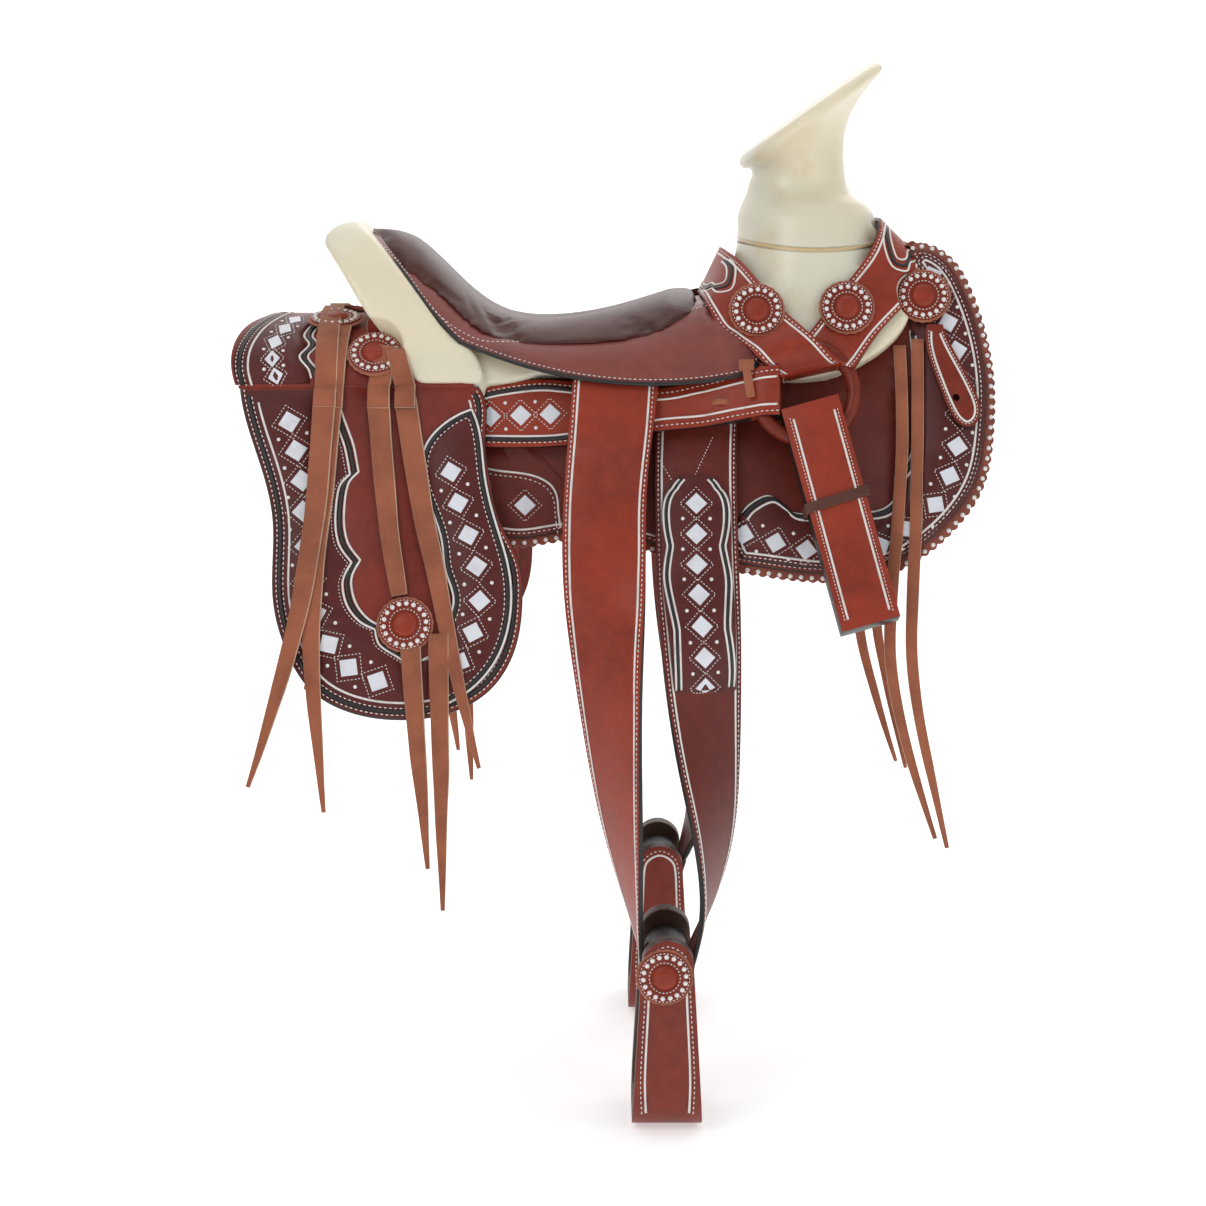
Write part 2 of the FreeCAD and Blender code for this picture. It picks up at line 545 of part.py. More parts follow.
# ---------------------------------------------------------------- stirrup
def stirrup_u(inner_half, outer_half, inner_low, outer_low, radius):
    """The U of the stirrup between two sizes, as a prism along x."""
    def filled(half, low, bend):
        top = BOLT_Z + 60
        points = [V(0, BOLT_Y - half, top), V(0, BOLT_Y - half, low + bend), V(0, BOLT_Y - half + bend, low),
                  V(0, BOLT_Y + half - bend, low), V(0, BOLT_Y + half, low + bend), V(0, BOLT_Y + half, top)]
        bulge = bend * (1 - math.sqrt(0.5))
        one = V(0, points[1].y + bulge, points[2].z + bulge)
        two = V(0, points[4].y - bulge, points[2].z + bulge)
        edges = [Part.makeLine(points[0], points[1]), Part.Arc(points[1], one, points[2]).toShape(),
                 Part.makeLine(points[2], points[3]), Part.Arc(points[3], two, points[4]).toShape(),
                 Part.makeLine(points[4], points[5]), Part.makeLine(points[5], points[0])]
        return Part.Face(Part.Wire(edges)).extrude(V(160, 0, 0))
    return filled(outer_half, outer_low, radius + outer_half - inner_half).cut(filled(inner_half, inner_low, radius))


side_shape = [[(BOLT_X - 24, BOLT_Z + 12), (BOLT_X - 17, BOLT_Z + 27), (BOLT_X, BOLT_Z + 34),
               (BOLT_X + 17, BOLT_Z + 27), (BOLT_X + 24, BOLT_Z + 12)],
              [(BOLT_X + 24, BOLT_Z + 12), (BOLT_X + 26, BOLT_Z - 30), (BOLT_X + 31, BOLT_Z - 110),
               (BOLT_X + 33, STIRRUP_BOTTOM + 4)],
              [(BOLT_X + 33, STIRRUP_BOTTOM + 4), (BOLT_X + 30, STIRRUP_BOTTOM)],
              [(BOLT_X + 30, STIRRUP_BOTTOM), (BOLT_X - 30, STIRRUP_BOTTOM)],
              [(BOLT_X - 30, STIRRUP_BOTTOM), (BOLT_X - 33, STIRRUP_BOTTOM + 4)],
              [(BOLT_X - 33, STIRRUP_BOTTOM + 4), (BOLT_X - 31, BOLT_Z - 110), (BOLT_X - 26, BOLT_Z - 30),
               (BOLT_X - 24, BOLT_Z + 12)]]
stirrup_side = side_prism(side_shape)
bolt_hole = Part.makeCylinder(BOLT_R, 200, V(BOLT_X, BOLT_Y - 100, BOLT_Z), V(0, 1, 0))
frame_u = stirrup_u(POST_IN, POST_OUT, STIRRUP_BOTTOM + TREAD_T, STIRRUP_BOTTOM + COVER_T, 24)
cover_u = stirrup_u(POST_OUT, POST_OUT + COVER_T, STIRRUP_BOTTOM + COVER_T, STIRRUP_BOTTOM, 42)
pair("stirrup_frame", frame_u.common(stirrup_side).cut(bolt_hole))
pair("stirrup_cover", cover_u.common(stirrup_side))

bolt_half = POST_OUT
bolt = Part.makeCylinder(BOLT_R, 2 * bolt_half, V(BOLT_X, BOLT_Y - bolt_half, BOLT_Z), V(0, 1, 0))
pair("stirrup_bolt", bolt)
roller = Part.makeCylinder(ROLLER_R, 2 * ROLLER_HALF, V(BOLT_X, BOLT_Y - ROLLER_HALF, BOLT_Z), V(0, 1, 0))
roller_bore = Part.makeCylinder(BOLT_R + BOLT_GAP, 2 * ROLLER_HALF, V(BOLT_X, BOLT_Y - ROLLER_HALF, BOLT_Z),
                                V(0, 1, 0))
pair("stirrup_roller", roller.cut(roller_bore))

# ---------------------------------------------------------------- latigo and its keeper
LATIGO_LEAN = 14.0
lean = math.radians(LATIGO_LEAN)


def beside_ring(side, along):
    """(x, drop) at a distance along the latigo from the ring's centre, and to its front side."""
    return (RING_X + along * math.sin(lean) + side * math.cos(lean),
            RING_DROP + along * math.cos(lean) - side * math.sin(lean))


latigo_outline = [beside_ring(-28, 14), beside_ring(28, 12), beside_ring(29, 232), beside_ring(-27, 234)]
latigo_runs = [[latigo_outline[i], latigo_outline[(i + 1) % 4]] for i in range(4)]
latigo = slab(latigo_runs, 21, 45).cut(ring_clear).cut([strap_behind, side_strap])
latigo = biggest(latigo)
pair("latigo", latigo)
keeper_corners = [beside_ring(-31, 108), beside_ring(32, 104), beside_ring(32, 114), beside_ring(-31, 118)]
keeper_runs = [[keeper_corners[i], keeper_corners[(i + 1) % 4]] for i in range(4)]
pair("latigo_keeper", slab(keeper_runs, 18.5, 47.5).cut(latigo))

# ---------------------------------------------------------------- billet with its hole
BILLET_HOLE_R = 3.5
billet_runs = [[(325, -66), (310, -66)],
               [(310, -66), (309, -45), (317, -14), (329, 18), (337, 31), (346, 36), (355, 31), (359, 17),
                (355, 2), (342, -26), (325, -66)]]
billet = slab(billet_runs, 6, 11)
billet = billet.cut(Part.makeCylinder(BILLET_HOLE_R, 20, at(336, 7, 0), OUT))
pair("billet", billet)

# ---------------------------------------------------------------- thongs that tie the seat down
knot = slab([[(128, -20), (142, -20)], [(142, -20), (142, -10)], [(142, -10), (128, -10)],
             [(128, -10), (128, -20)]], SEAT_LOW + SEAT_T + 2.5, SEAT_LOW + SEAT_T + 8)
tail = slab([[(131, -12), (139, -12)], [(139, -12), (143, 16)], [(143, 16), (135, 17)],
             [(135, 17), (131, -12)]], SEAT_LOW + SEAT_T + 5, SEAT_LOW + SEAT_T + 7.5)
thongs = knot.fuse(tail).cut(seat_leather)
parts["seat_thongs"] = Part.makeCompound([thongs, mirrored(thongs)])

# ---------------------------------------------------------------- rosettes
fixed = [rosette(place, normal, stem) for place, normal, stem in rosette_places]
parts["rosettes"] = Part.makeCompound(fixed + [mirrored(one) for one in fixed])
pair("rosette_flap", rosette(at(-184, 232, BAG_LOW + BAG_T + 2.4), OUT, 2.0))
pair("rosette_stirrup", rosette(V(BOLT_X - 3, BOLT_Y - POST_OUT - COVER_T, BOLT_Z), V(0, -1, 0)))

# ---------------------------------------------------------------- saddle strings
string_low = BAG_LOW + BAG_T + 3.0
over_low = string_low + 4.0
rear_strings = [
    free_string([at(-262, 6, over_low), at(-266, 90, over_low), at(-276, 190, over_low),
                 at(-300, 300, over_low), at(-326, 385, over_low)], [22, 21, 19, 14, 4]),
    free_string([at(-256, 6, string_low), at(-263, 110, string_low), at(-273, 210, string_low),
                 at(-268, 310, string_low), at(-256, 408, string_low)], [22, 21, 19, 14, 4]),
    free_string([at(-212, 17, string_low), at(-205, 120, string_low), at(-190, 196, string_low)], [22, 20, 16]),
    free_string([at(-187, 14, string_low), at(-172, 110, string_low), at(-150, 210, string_low),
                 at(-132, 300, string_low), at(-114, 367, string_low)], [22, 21, 18, 13, 4]),
    free_string([at(-178, 262, string_low), at(-172, 340, string_low), at(-160, 460, string_low)], [20, 16, 4]),
    free_string([at(-152, 250, string_low), at(-150, 340, string_low), at(-146, 498, string_low)], [20, 16, 4]),
]
pair("rear_strings", Part.makeCompound(rear_strings))

front_low = 4.5
front_strings = [
    free_string([at(284, -46, front_low), at(286, 20, front_low), at(281, 110, front_low),
                 at(272, 186, front_low), hanging(268, 240, front_low, -300), hanging(290, 240, front_low, -390),
                 hanging(314, 240, front_low, -462)], [12, 12, 12, 12, 11, 9, 4]),
    free_string([at(301, -52, front_low), at(300, 20, front_low), at(297, 110, front_low),
                 at(292, 186, front_low), hanging(288, 240, front_low + 5, -300),
                 hanging(306, 240, front_low + 5, -390),
                 hanging(325, 240, front_low + 5, -470)], [12, 12, 12, 12, 11, 9, 4]),
]
pair("front_strings", Part.makeCompound(front_strings))

# ---------------------------------------------------------------- files
os.makedirs("parts", exist_ok=True)
for name, shape in parts.items():
    shape.exportStep("parts/" + name + ".step")
    print(name, len(shape.Solids), shape.isValid(), round(shape.Volume / 1000.0, 1))
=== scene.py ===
"""Looks of a charro saddle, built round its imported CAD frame."""
import math

import bmesh
import bpy
from mathutils import Matrix, Vector
from mathutils.bvhtree import BVHTree


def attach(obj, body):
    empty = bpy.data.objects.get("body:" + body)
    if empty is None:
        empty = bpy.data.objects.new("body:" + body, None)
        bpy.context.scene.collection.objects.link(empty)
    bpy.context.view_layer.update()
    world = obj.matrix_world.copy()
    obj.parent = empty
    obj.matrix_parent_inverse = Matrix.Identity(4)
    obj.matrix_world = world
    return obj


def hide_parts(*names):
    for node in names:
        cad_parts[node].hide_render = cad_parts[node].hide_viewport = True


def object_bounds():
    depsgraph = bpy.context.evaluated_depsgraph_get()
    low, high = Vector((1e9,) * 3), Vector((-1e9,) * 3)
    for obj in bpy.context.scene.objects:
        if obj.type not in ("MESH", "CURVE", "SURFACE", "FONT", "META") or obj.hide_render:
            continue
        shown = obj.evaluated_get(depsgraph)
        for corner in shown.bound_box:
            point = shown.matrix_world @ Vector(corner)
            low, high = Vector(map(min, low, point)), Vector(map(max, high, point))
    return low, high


bl_info = {
    "name": "Charro saddle",
    "version": (1, 0, 0),
    "blender": (4, 5, 0),
    "location": "3D View > Sidebar > Saddle",
    "description": "Builds the leather, rawhide and sewing of a charro saddle round its CAD frame",
    "category": "Add Mesh",
}

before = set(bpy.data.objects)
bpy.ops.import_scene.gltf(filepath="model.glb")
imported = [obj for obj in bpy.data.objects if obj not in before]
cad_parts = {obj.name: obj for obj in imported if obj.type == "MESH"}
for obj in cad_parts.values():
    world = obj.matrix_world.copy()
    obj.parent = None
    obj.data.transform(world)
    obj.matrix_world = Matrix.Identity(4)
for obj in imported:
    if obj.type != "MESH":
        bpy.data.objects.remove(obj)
CAD_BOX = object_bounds()
MM = 0.001

# The side sheets lie on a plane that leans out 20 degrees, tangent to the arch of the tree.
LEAN = math.radians(20.0)
ARCH_R = 110.0
RIDGE_Z = 25.0
FOOT_Y = -ARCH_R * math.cos(LEAN)
FOOT_Z = RIDGE_Z - ARCH_R + ARCH_R * math.sin(LEAN)
SIDES = {"right": 1.0, "left": -1.0}

FLAP_TOP = 28.0
WING_TOP = 30.0
BORDER_TOP = 3.0
STRING_OUT = 32.5
BOLT = (60.0, -200.0, -575.0)


# ------------------------------------------------------------------ sizes and colours
class SaddleSizes(bpy.types.PropertyGroup):
    stitch_pitch: bpy.props.FloatProperty(
        name="Stitch pitch", description="Distance between stitches", default=0.0048, min=0.002, unit="LENGTH")
    stitch_length: bpy.props.FloatProperty(
        name="Stitch length", description="Visible length of one stitch", default=0.0032, unit="LENGTH")
    thread: bpy.props.FloatProperty(
        name="Thread", description="Thickness of the thread", default=0.0012, unit="LENGTH")
    line_width: bpy.props.FloatProperty(
        name="White line", description="Width of the white lacing lines", default=0.0022, unit="LENGTH")
    groove_width: bpy.props.FloatProperty(
        name="Black channel", description="Width of the black channel between stitch rows", default=0.0042,
        unit="LENGTH")
    stud: bpy.props.FloatProperty(
        name="Stud", description="Diameter of the round white studs", default=0.0050, unit="LENGTH")
    stud_pitch: bpy.props.FloatProperty(
        name="Stud pitch", description="Distance between studs along the trim", default=0.0102, unit="LENGTH")
    diamond: bpy.props.FloatProperty(
        name="Diamond", description="Side of the white inlaid diamonds", default=0.0145, unit="LENGTH")
    pad_swell: bpy.props.FloatProperty(
        name="Pad swell", description="Most that the seat pad may swell", default=0.005, unit="LENGTH")
    remesh: bpy.props.FloatProperty(
        name="Tree remesh", description="Voxel size of the rawhide skin", default=0.0032, unit="LENGTH")


class SaddleColours(bpy.types.PropertyGroup):
    rawhide: bpy.props.FloatVectorProperty(
        name="Rawhide", description="Rawhide of the tree", subtype="COLOR", size=3, default=(0.82, 0.74, 0.54))
    seat: bpy.props.FloatVectorProperty(
        name="Seat", description="Padded seat leather", subtype="COLOR", size=3, default=(0.075, 0.021, 0.015))
    jockey: bpy.props.FloatVectorProperty(
        name="Jockey", description="Smooth leather under the pad", subtype="COLOR", size=3,
        default=(0.235, 0.062, 0.050))
    skirt: bpy.props.FloatVectorProperty(
        name="Skirt", description="Skirt leather", subtype="COLOR", size=3, default=(0.150, 0.020, 0.012))
    strap: bpy.props.FloatVectorProperty(
        name="Strap", description="Rigging strap leather", subtype="COLOR", size=3, default=(0.300, 0.034, 0.013))
    bag: bpy.props.FloatVectorProperty(
        name="Saddlebag", description="Plain middle of the saddlebags", subtype="COLOR", size=3,
        default=(0.215, 0.026, 0.015))
    band: bpy.props.FloatVectorProperty(
        name="Band", description="Darker decorated leather", subtype="COLOR", size=3, default=(0.100, 0.014, 0.012))
    stirrup: bpy.props.FloatVectorProperty(
        name="Stirrup", description="Stirrup leather and cover", subtype="COLOR", size=3,
        default=(0.220, 0.032, 0.017))
    suede: bpy.props.FloatVectorProperty(
        name="Suede", description="Saddle strings", subtype="COLOR", size=3, default=(0.370, 0.112, 0.052))
    scallop: bpy.props.FloatVectorProperty(
        name="Scallops", description="Scalloped edging leather", subtype="COLOR", size=3,
        default=(0.26, 0.066, 0.040))


def sizes():
    return bpy.context.scene.saddle_sizes


def colours():
    return bpy.context.scene.saddle_colours


# ------------------------------------------------------------------ shader building
class Value:
    """A shader value: arithmetic on it adds the Math nodes."""

    def __init__(self, finish, socket):
        self.finish, self.socket = finish, socket

    def math(self, operation, *others):
        node = self.finish.node("ShaderNodeMath", {"operation": operation}, {})
        for index, item in enumerate(others):
            if isinstance(item, Value):
                self.finish.tree.links.new(item.socket, node.inputs[index])
            else:
                node.inputs[index].default_value = item
        return Value(self.finish, node.outputs[0])

    def __add__(self, other):
        return self.math("ADD", self, other)

    __radd__ = __add__

    def __sub__(self, other):
        return self.math("SUBTRACT", self, other)

    def __rsub__(self, other):
        return self.math("SUBTRACT", other, self)

    def __mul__(self, other):
        return self.math("MULTIPLY", self, other)

    __rmul__ = __mul__

    def __truediv__(self, other):
        return self.math("DIVIDE", self, other)

    def smooth(self, low, high):
        node = self.finish.node("ShaderNodeMapRange", {"interpolation_type": "SMOOTHSTEP"},
                                {"Value": self, "From Min": low, "From Max": high})
        return Value(self.finish, node.outputs["Result"])


class Finish:
    """One procedural material."""

    def __init__(self, name):
        self.material = bpy.data.materials.new(name)
        self.material.use_nodes = True
        self.tree = self.material.node_tree
        self.shader = self.tree.nodes["Principled BSDF"]
        self.place = self.node("ShaderNodeTexCoord", {}, {}).outputs["Object"]

    def node(self, kind, settings, inputs):
        node = self.tree.nodes.new(kind)
        for key, value in settings.items():
            if key == "stops":
                ramp = node.color_ramp
                while len(ramp.elements) < len(value):
                    ramp.elements.new(0.5)
                for element, (position, colour) in zip(ramp.elements, value):
                    element.position, element.color = position, (*colour, 1.0)
            else:
                setattr(node, key, value)
        for key, value in inputs.items():
            socket = node.inputs[key]
            if isinstance(value, Value):
                self.tree.links.new(value.socket, socket)
            elif isinstance(value, bpy.types.NodeSocket):
                self.tree.links.new(value, socket)
            elif socket.type == "RGBA" and len(value) == 3:
                socket.default_value = (*value, 1.0)
            else:
                socket.default_value = value
        return node

    def noise(self, scale, detail=3.0, stretch=None, rough=0.5):
        vector = self.place
        if stretch:
            vector = self.node("ShaderNodeVectorMath", {"operation": "MULTIPLY"},
                               {0: self.place, 1: stretch}).outputs[0]
        node = self.node("ShaderNodeTexNoise", {}, {"Vector": vector, "Scale": scale, "Detail": detail,
                                                    "Roughness": rough})
        return Value(self, node.outputs["Fac"])

    def cells(self, scale, feature="F1"):
        node = self.node("ShaderNodeTexVoronoi", {"feature": feature}, {"Vector": self.place, "Scale": scale})
        return Value(self, node.outputs["Distance"])

    def along(self, axis):
        node = self.node("ShaderNodeSeparateXYZ", {}, {0: self.place})
        return Value(self, node.outputs[axis])

    def mix(self, factor, one, two, blend="MIX"):
        node = self.node("ShaderNodeMix", {"data_type": "RGBA", "blend_type": blend}, {})
        for index, item in ((0, factor), (6, one), (7, two)):
            if isinstance(item, Value):
                self.tree.links.new(item.socket, node.inputs[index])
            elif isinstance(item, bpy.types.NodeSocket):
                self.tree.links.new(item, node.inputs[index])
            elif index == 0:
                node.inputs[0].default_value = item
            else:
                node.inputs[index].default_value = (*item, 1.0)
        return node.outputs[2]

    def bump(self, height, strength, distance, under=None):
        inputs = {"Height": height, "Strength": strength, "Distance": distance}
        if under is not None:
            inputs["Normal"] = under
        return self.node("ShaderNodeBump", {}, inputs).outputs["Normal"]

    def finished(self, colour, roughness, normal, **constants):
        for key, value in (("Base Color", colour), ("Roughness", roughness), ("Normal", normal)):
            if isinstance(value, Value):
                self.tree.links.new(value.socket, self.shader.inputs[key])
            elif isinstance(value, bpy.types.NodeSocket):
                self.tree.links.new(value, self.shader.inputs[key])
            elif value is not None:
                self.shader.inputs[key].default_value = (*value, 1.0) if key == "Base Color" else value
        for key, value in constants.items():
            self.shader.inputs[key.replace("_", " ")].default_value = value
        return self.material


def scaled(colour, share):
    return tuple(min(1.0, part * share) for part in colour)


def kept(name, build):
    """A finish is built once and used again."""
    title = "finish_" + name
    return bpy.data.materials.get(title) or build(title)


def leather(name, base, gloss=0.42, grain=1.0, mottle=1.0):
    """Drum-dyed leather: cloudy colour, a fine pebble grain, scuffs that are duller and paler."""
    def build(title):
        skin = Finish(title)
        cloud = skin.noise(13.0, 4.0).smooth(0.35, 0.68)
        fine = skin.noise(85.0, 5.0, rough=0.65).smooth(0.38, 0.72)
        streak = skin.noise(26.0, 3.0, stretch=(0.5, 1.0, 2.2)).smooth(0.52, 0.75)
        colour = skin.mix(cloud * (0.75 * mottle), base, scaled(base, 0.68))
        colour = skin.mix(fine * 0.35, colour, scaled(base, 1.35))
        colour = skin.mix(streak * 0.30, colour, scaled(base, 0.55))
        pebble = skin.cells(780.0)
        crease = skin.noise(260.0, 3.0, rough=0.7)
        scuff = skin.noise(40.0, 6.0, rough=0.8).smooth(0.60, 0.74)
        colour = skin.mix(scuff * 0.20, colour, scaled(base, 1.9))
        roughness = gloss + crease * 0.16 + scuff * 0.14 - cloud * 0.05
        normal = skin.bump(pebble * 0.6 + crease * 0.8, 0.30 * grain, 0.0005)
        normal = skin.bump(skin.noise(9.0, 2.0), 0.35, 0.004, normal)
        return skin.finished(colour, roughness, normal, Specular_IOR_Level=0.34, Coat_Roughness=0.30)
    return kept(name, build)


def edge_black(name="black_edge"):
    """Cut edges, inked black and rubbed with use."""
    def build(title):
        skin = Finish(title)
        worn = skin.noise(120.0, 4.0, rough=0.7).smooth(0.58, 0.76)
        colour = skin.mix(worn * 0.5, (0.016, 0.012, 0.012), (0.075, 0.040, 0.030))
        normal = skin.bump(skin.noise(420.0, 3.0), 0.3, 0.0004)
        return skin.finished(colour, 0.42 + worn * 0.25, normal)
    return kept(name, build)


def white_thread(name="white_thread"):
    """Waxed white thread and lacing with its twist and a little dirt."""
    def build(title):
        skin = Finish(title)
        dirt = skin.noise(70.0, 4.0).smooth(0.50, 0.72)
        colour = skin.mix(dirt * 0.45, (0.82, 0.79, 0.76), (0.52, 0.42, 0.38))
        normal = skin.bump(skin.noise(1500.0, 2.0), 0.35, 0.0003)
        return skin.finished(colour, 0.48 + dirt * 0.2, normal)
    return kept(name, build)


def inlay_white(name="inlay_white"):
    """Smooth white inlay with a cool sheen and faint smudges."""
    def build(title):
        skin = Finish(title)
        smudge = skin.noise(60.0, 5.0).smooth(0.45, 0.75)
        colour = skin.mix(smudge * 0.5, (0.78, 0.80, 0.86), (0.58, 0.55, 0.60))
        normal = skin.bump(skin.noise(700.0, 2.0), 0.2, 0.0003)
        return skin.finished(colour, 0.34 + smudge * 0.2, normal)
    return kept(name, build)


def stud_white(name="stud_white"):
    def build(title):
        skin = Finish(title)
        rub = skin.noise(400.0, 3.0).smooth(0.5, 0.7)
        colour = skin.mix(rub * 0.4, (0.86, 0.84, 0.82), (0.60, 0.52, 0.48))
        return skin.finished(colour, 0.22 + rub * 0.25, skin.bump(rub, 0.1, 0.0002))
    return kept(name, build)


def suede(name, base):
    """Napped suede: matt, cloudy, with a short fibre texture."""
    def build(title):
        skin = Finish(title)
        cloud = skin.noise(24.0, 5.0, rough=0.6).smooth(0.34, 0.70)
        nap = skin.noise(900.0, 4.0, rough=0.75)
        colour = skin.mix(cloud * 0.8, base, scaled(base, 0.62))
        colour = skin.mix(nap.smooth(0.45, 0.75) * 0.35, colour, scaled(base, 1.5))
        crease = skin.noise(60.0, 3.0, stretch=(1.0, 1.0, 0.35))
        normal = skin.bump(nap, 0.45, 0.0006)
        normal = skin.bump(crease, 0.5, 0.0016, normal)
        return skin.finished(colour, 0.80 + nap * 0.12, normal, Sheen_Weight=0.25, Sheen_Roughness=0.5)
    return kept(name, build)


def rawhide(name="rawhide"):
    """Varnished rawhide over wood: cream with painted greenish-white highlight patches, tan stains, a lacing groove
    round the bell of the fork.
    """
    def build(title):
        base = tuple(colours().rawhide)
        skin = Finish(title)
        x, z = skin.along("X"), skin.along("Z")
        stain = skin.noise(11.0, 5.0, rough=0.6).smooth(0.50, 0.72)
        # Greenish-white patches placed at random by noise are a painted highlight: the varnish's highlights put into
        # the colour.
        cool = skin.noise(6.0, 2.0).smooth(0.42, 0.62)
        fleck = skin.noise(150.0, 6.0, rough=0.75).smooth(0.64, 0.72)
        colour = skin.mix(cool * 0.55, base, (0.70, 0.72, 0.62))
        colour = skin.mix(stain * 0.50, colour, (0.66, 0.44, 0.20))
        colour = skin.mix(fleck * 0.30, colour, (0.40, 0.27, 0.13))
        rise = (x - 0.205) * (x - 0.205) * 1.6
        gap = z - rise - 0.0885
        away = gap.math("ABSOLUTE", gap)
        line = 1.0 - away.smooth(0.0009, 0.0032)
        in_bell = x.smooth(0.115, 0.125)
        line = line * in_bell
        colour = skin.mix(line * 0.75, colour, (0.62, 0.42, 0.16))
        ridge = skin.bump(line, 0.9, 0.0022)
        wrinkle = skin.noise(55.0, 4.0, stretch=(1.0, 1.0, 0.5))
        normal = skin.bump(wrinkle, 0.18, 0.0016, ridge)
        normal = skin.bump(skin.noise(16.0, 2.0), 0.30, 0.004, normal)
        return skin.finished(colour, 0.30 + wrinkle * 0.14 + stain * 0.1, normal, Coat_Weight=0.25,
                             Coat_Roughness=0.2)
    return kept(name, build)


def fleece(name="fleece"):
    def build(title):
        skin = Finish(title)
        curl = skin.cells(260.0)
        tuft = skin.noise(90.0, 5.0, rough=0.7)
        colour = skin.mix(curl.smooth(0.1, 0.7), (0.62, 0.52, 0.38), (0.30, 0.22, 0.14))
        normal = skin.bump(curl * 0.7 + tuft, 1.0, 0.004)
        return skin.finished(colour, 0.9, normal, Sheen_Weight=0.4)
    return kept(name, build)


def dark_hard(name, base, roughness, metal=0.0):
    """Steel, rubber or painted parts with rubbed marks."""
    def build(title):
        skin = Finish(title)
        rub = skin.noise(130.0, 5.0, rough=0.7).smooth(0.50, 0.74)
        colour = skin.mix(rub * 0.6, base, scaled(base, 2.2))
        normal = skin.bump(skin.noise(500.0, 3.0), 0.25, 0.0003)
        return skin.finished(colour, roughness + rub * 0.18, normal, Metallic=metal)
    return kept(name, build)


def paper_floor(name="studio_white"):
    def build(title):
        skin = Finish(title)
        cloud = skin.noise(1.4, 2.0)
        colour = skin.mix(cloud, (0.86, 0.86, 0.86), (0.90, 0.90, 0.90))
        skin.tree.links.new(colour, skin.shader.inputs["Emission Color"])
        made = skin.finished(colour, 0.85, skin.bump(skin.noise(300.0), 0.05, 0.0004), Emission_Strength=0.52)
        tree = skin.tree
        clear = tree.nodes.new("ShaderNodeBsdfTransparent")
        facing = tree.nodes.new("ShaderNodeNewGeometry")
        either = tree.nodes.new("ShaderNodeMixShader")
        tree.links.new(facing.outputs["Backfacing"], either.inputs[0])
        tree.links.new(skin.shader.outputs[0], either.inputs[1])
        tree.links.new(clear.outputs[0], either.inputs[2])
        output = next(node for node in tree.nodes if node.type == "OUTPUT_MATERIAL")
        tree.links.new(either.outputs[0], output.inputs["Surface"])
        return made
    return kept(name, build)


def seat_finish():
    return leather("seat_leather_padded", tuple(colours().seat), gloss=0.36, grain=0.9)


def black():
    return edge_black()


# ------------------------------------------------------------------ places on the saddle
def on_slope(x, drop, out, side=1.0):
    """A point, in metres: along the saddle, down the side, and out from it."""
    y = FOOT_Y - math.sin(LEAN) * drop - math.cos(LEAN) * out
    z = FOOT_Z - math.cos(LEAN) * drop + math.sin(LEAN) * out
    return Vector((x, y * side, z)) * MM


def outward(side=1.0):
    return Vector((0.0, -math.cos(LEAN) * side, math.sin(LEAN)))


def mirrored(point, side):
    return Vector((point[0], point[1] * side, point[2]))


def smooth_run(points, pieces=8, closed=False):
    """A Catmull-Rom line through points of any dimension."""
    rows = [Vector(point) for point in points]
    count = len(rows)
    made = []
    spans = count if closed else count - 1
    for index in range(spans):
        if closed:
            a, b, c, d = (rows[(index + shift) % count] for shift in (-1, 0, 1, 2))
        else:
            a, b, c, d = (rows[min(max(index + shift, 0), count - 1)] for shift in (-1, 0, 1, 2))
        for step in range(pieces):
            t = step / pieces
            made.append(0.5 * (2 * b + (c - a) * t + (2 * a - 5 * b + 4 * c - d) * t * t
                               + (3 * b - a - 3 * c + d) * t * t * t))
    if not closed:
        made.append(rows[-1])
    return made


def resampled(points, pitch, closed=False):
    rows = list(points) + ([points[0]] if closed else [])
    lengths = [0.0]
    for one, two in zip(rows[:-1], rows[1:]):
        lengths.append(lengths[-1] + (two - one).length)
    total = lengths[-1]
    count = max(2, round(total / pitch))
    made, index = [], 0
    for step in range(count + (0 if closed else 1)):
        want = total * step / count
        while index < len(lengths) - 2 and lengths[index + 1] < want:
            index += 1
        span = max(lengths[index + 1] - lengths[index], 1e-9)
        made.append(rows[index].lerp(rows[index + 1], min(1.0, (want - lengths[index]) / span)))
    return made


def rim(node, wanted, side=1.0):
    """The outline of a CAD sheet's outer face, as (x, drop) points in millimetres."""
    source = bmesh.new()
    source.from_mesh(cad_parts[node].data)
    bmesh.ops.remove_doubles(source, verts=source.verts, dist=2e-5)
    out = outward(side)
    top = [face for face in source.faces if face.normal.dot(out) > 0.99]
    level = max(face.calc_center_median().dot(out) for face in top)
    top = {face for face in top if face.calc_center_median().dot(out) > level - 0.0006}
    follow = {}
    for face in top:
        for loop in face.loops:
            if not any(other in top for other in loop.edge.link_faces if other is not face):
                follow[loop.vert.index] = loop.link_loop_next.vert
    chains, unused = [], dict(follow)
    while unused:
        start = next(iter(unused))
        chain, current = [], start
        while current in unused:
            vert = unused.pop(current)
            chain.append(vert.co.copy())
            current = vert.index
        chains.append(chain)
    longest = max(chains, key=lambda chain: sum((a - b).length for a, b in zip(chain, chain[1:])))
    points = []
    for co in longest:
        y, z = co.y * side / MM - FOOT_Y, co.z / MM - FOOT_Z
        drop = -math.sin(LEAN) * y - math.cos(LEAN) * z
        points.append(Vector((co.x / MM, drop)))
    source.free()
    if signed_area(points) < 0:
        points.reverse()
    return resampled(points, wanted, closed=True)


def signed_area(points):
    return sum(a.x * b.y - b.x * a.y for a, b in zip(points, points[1:] + points[:1])) / 2


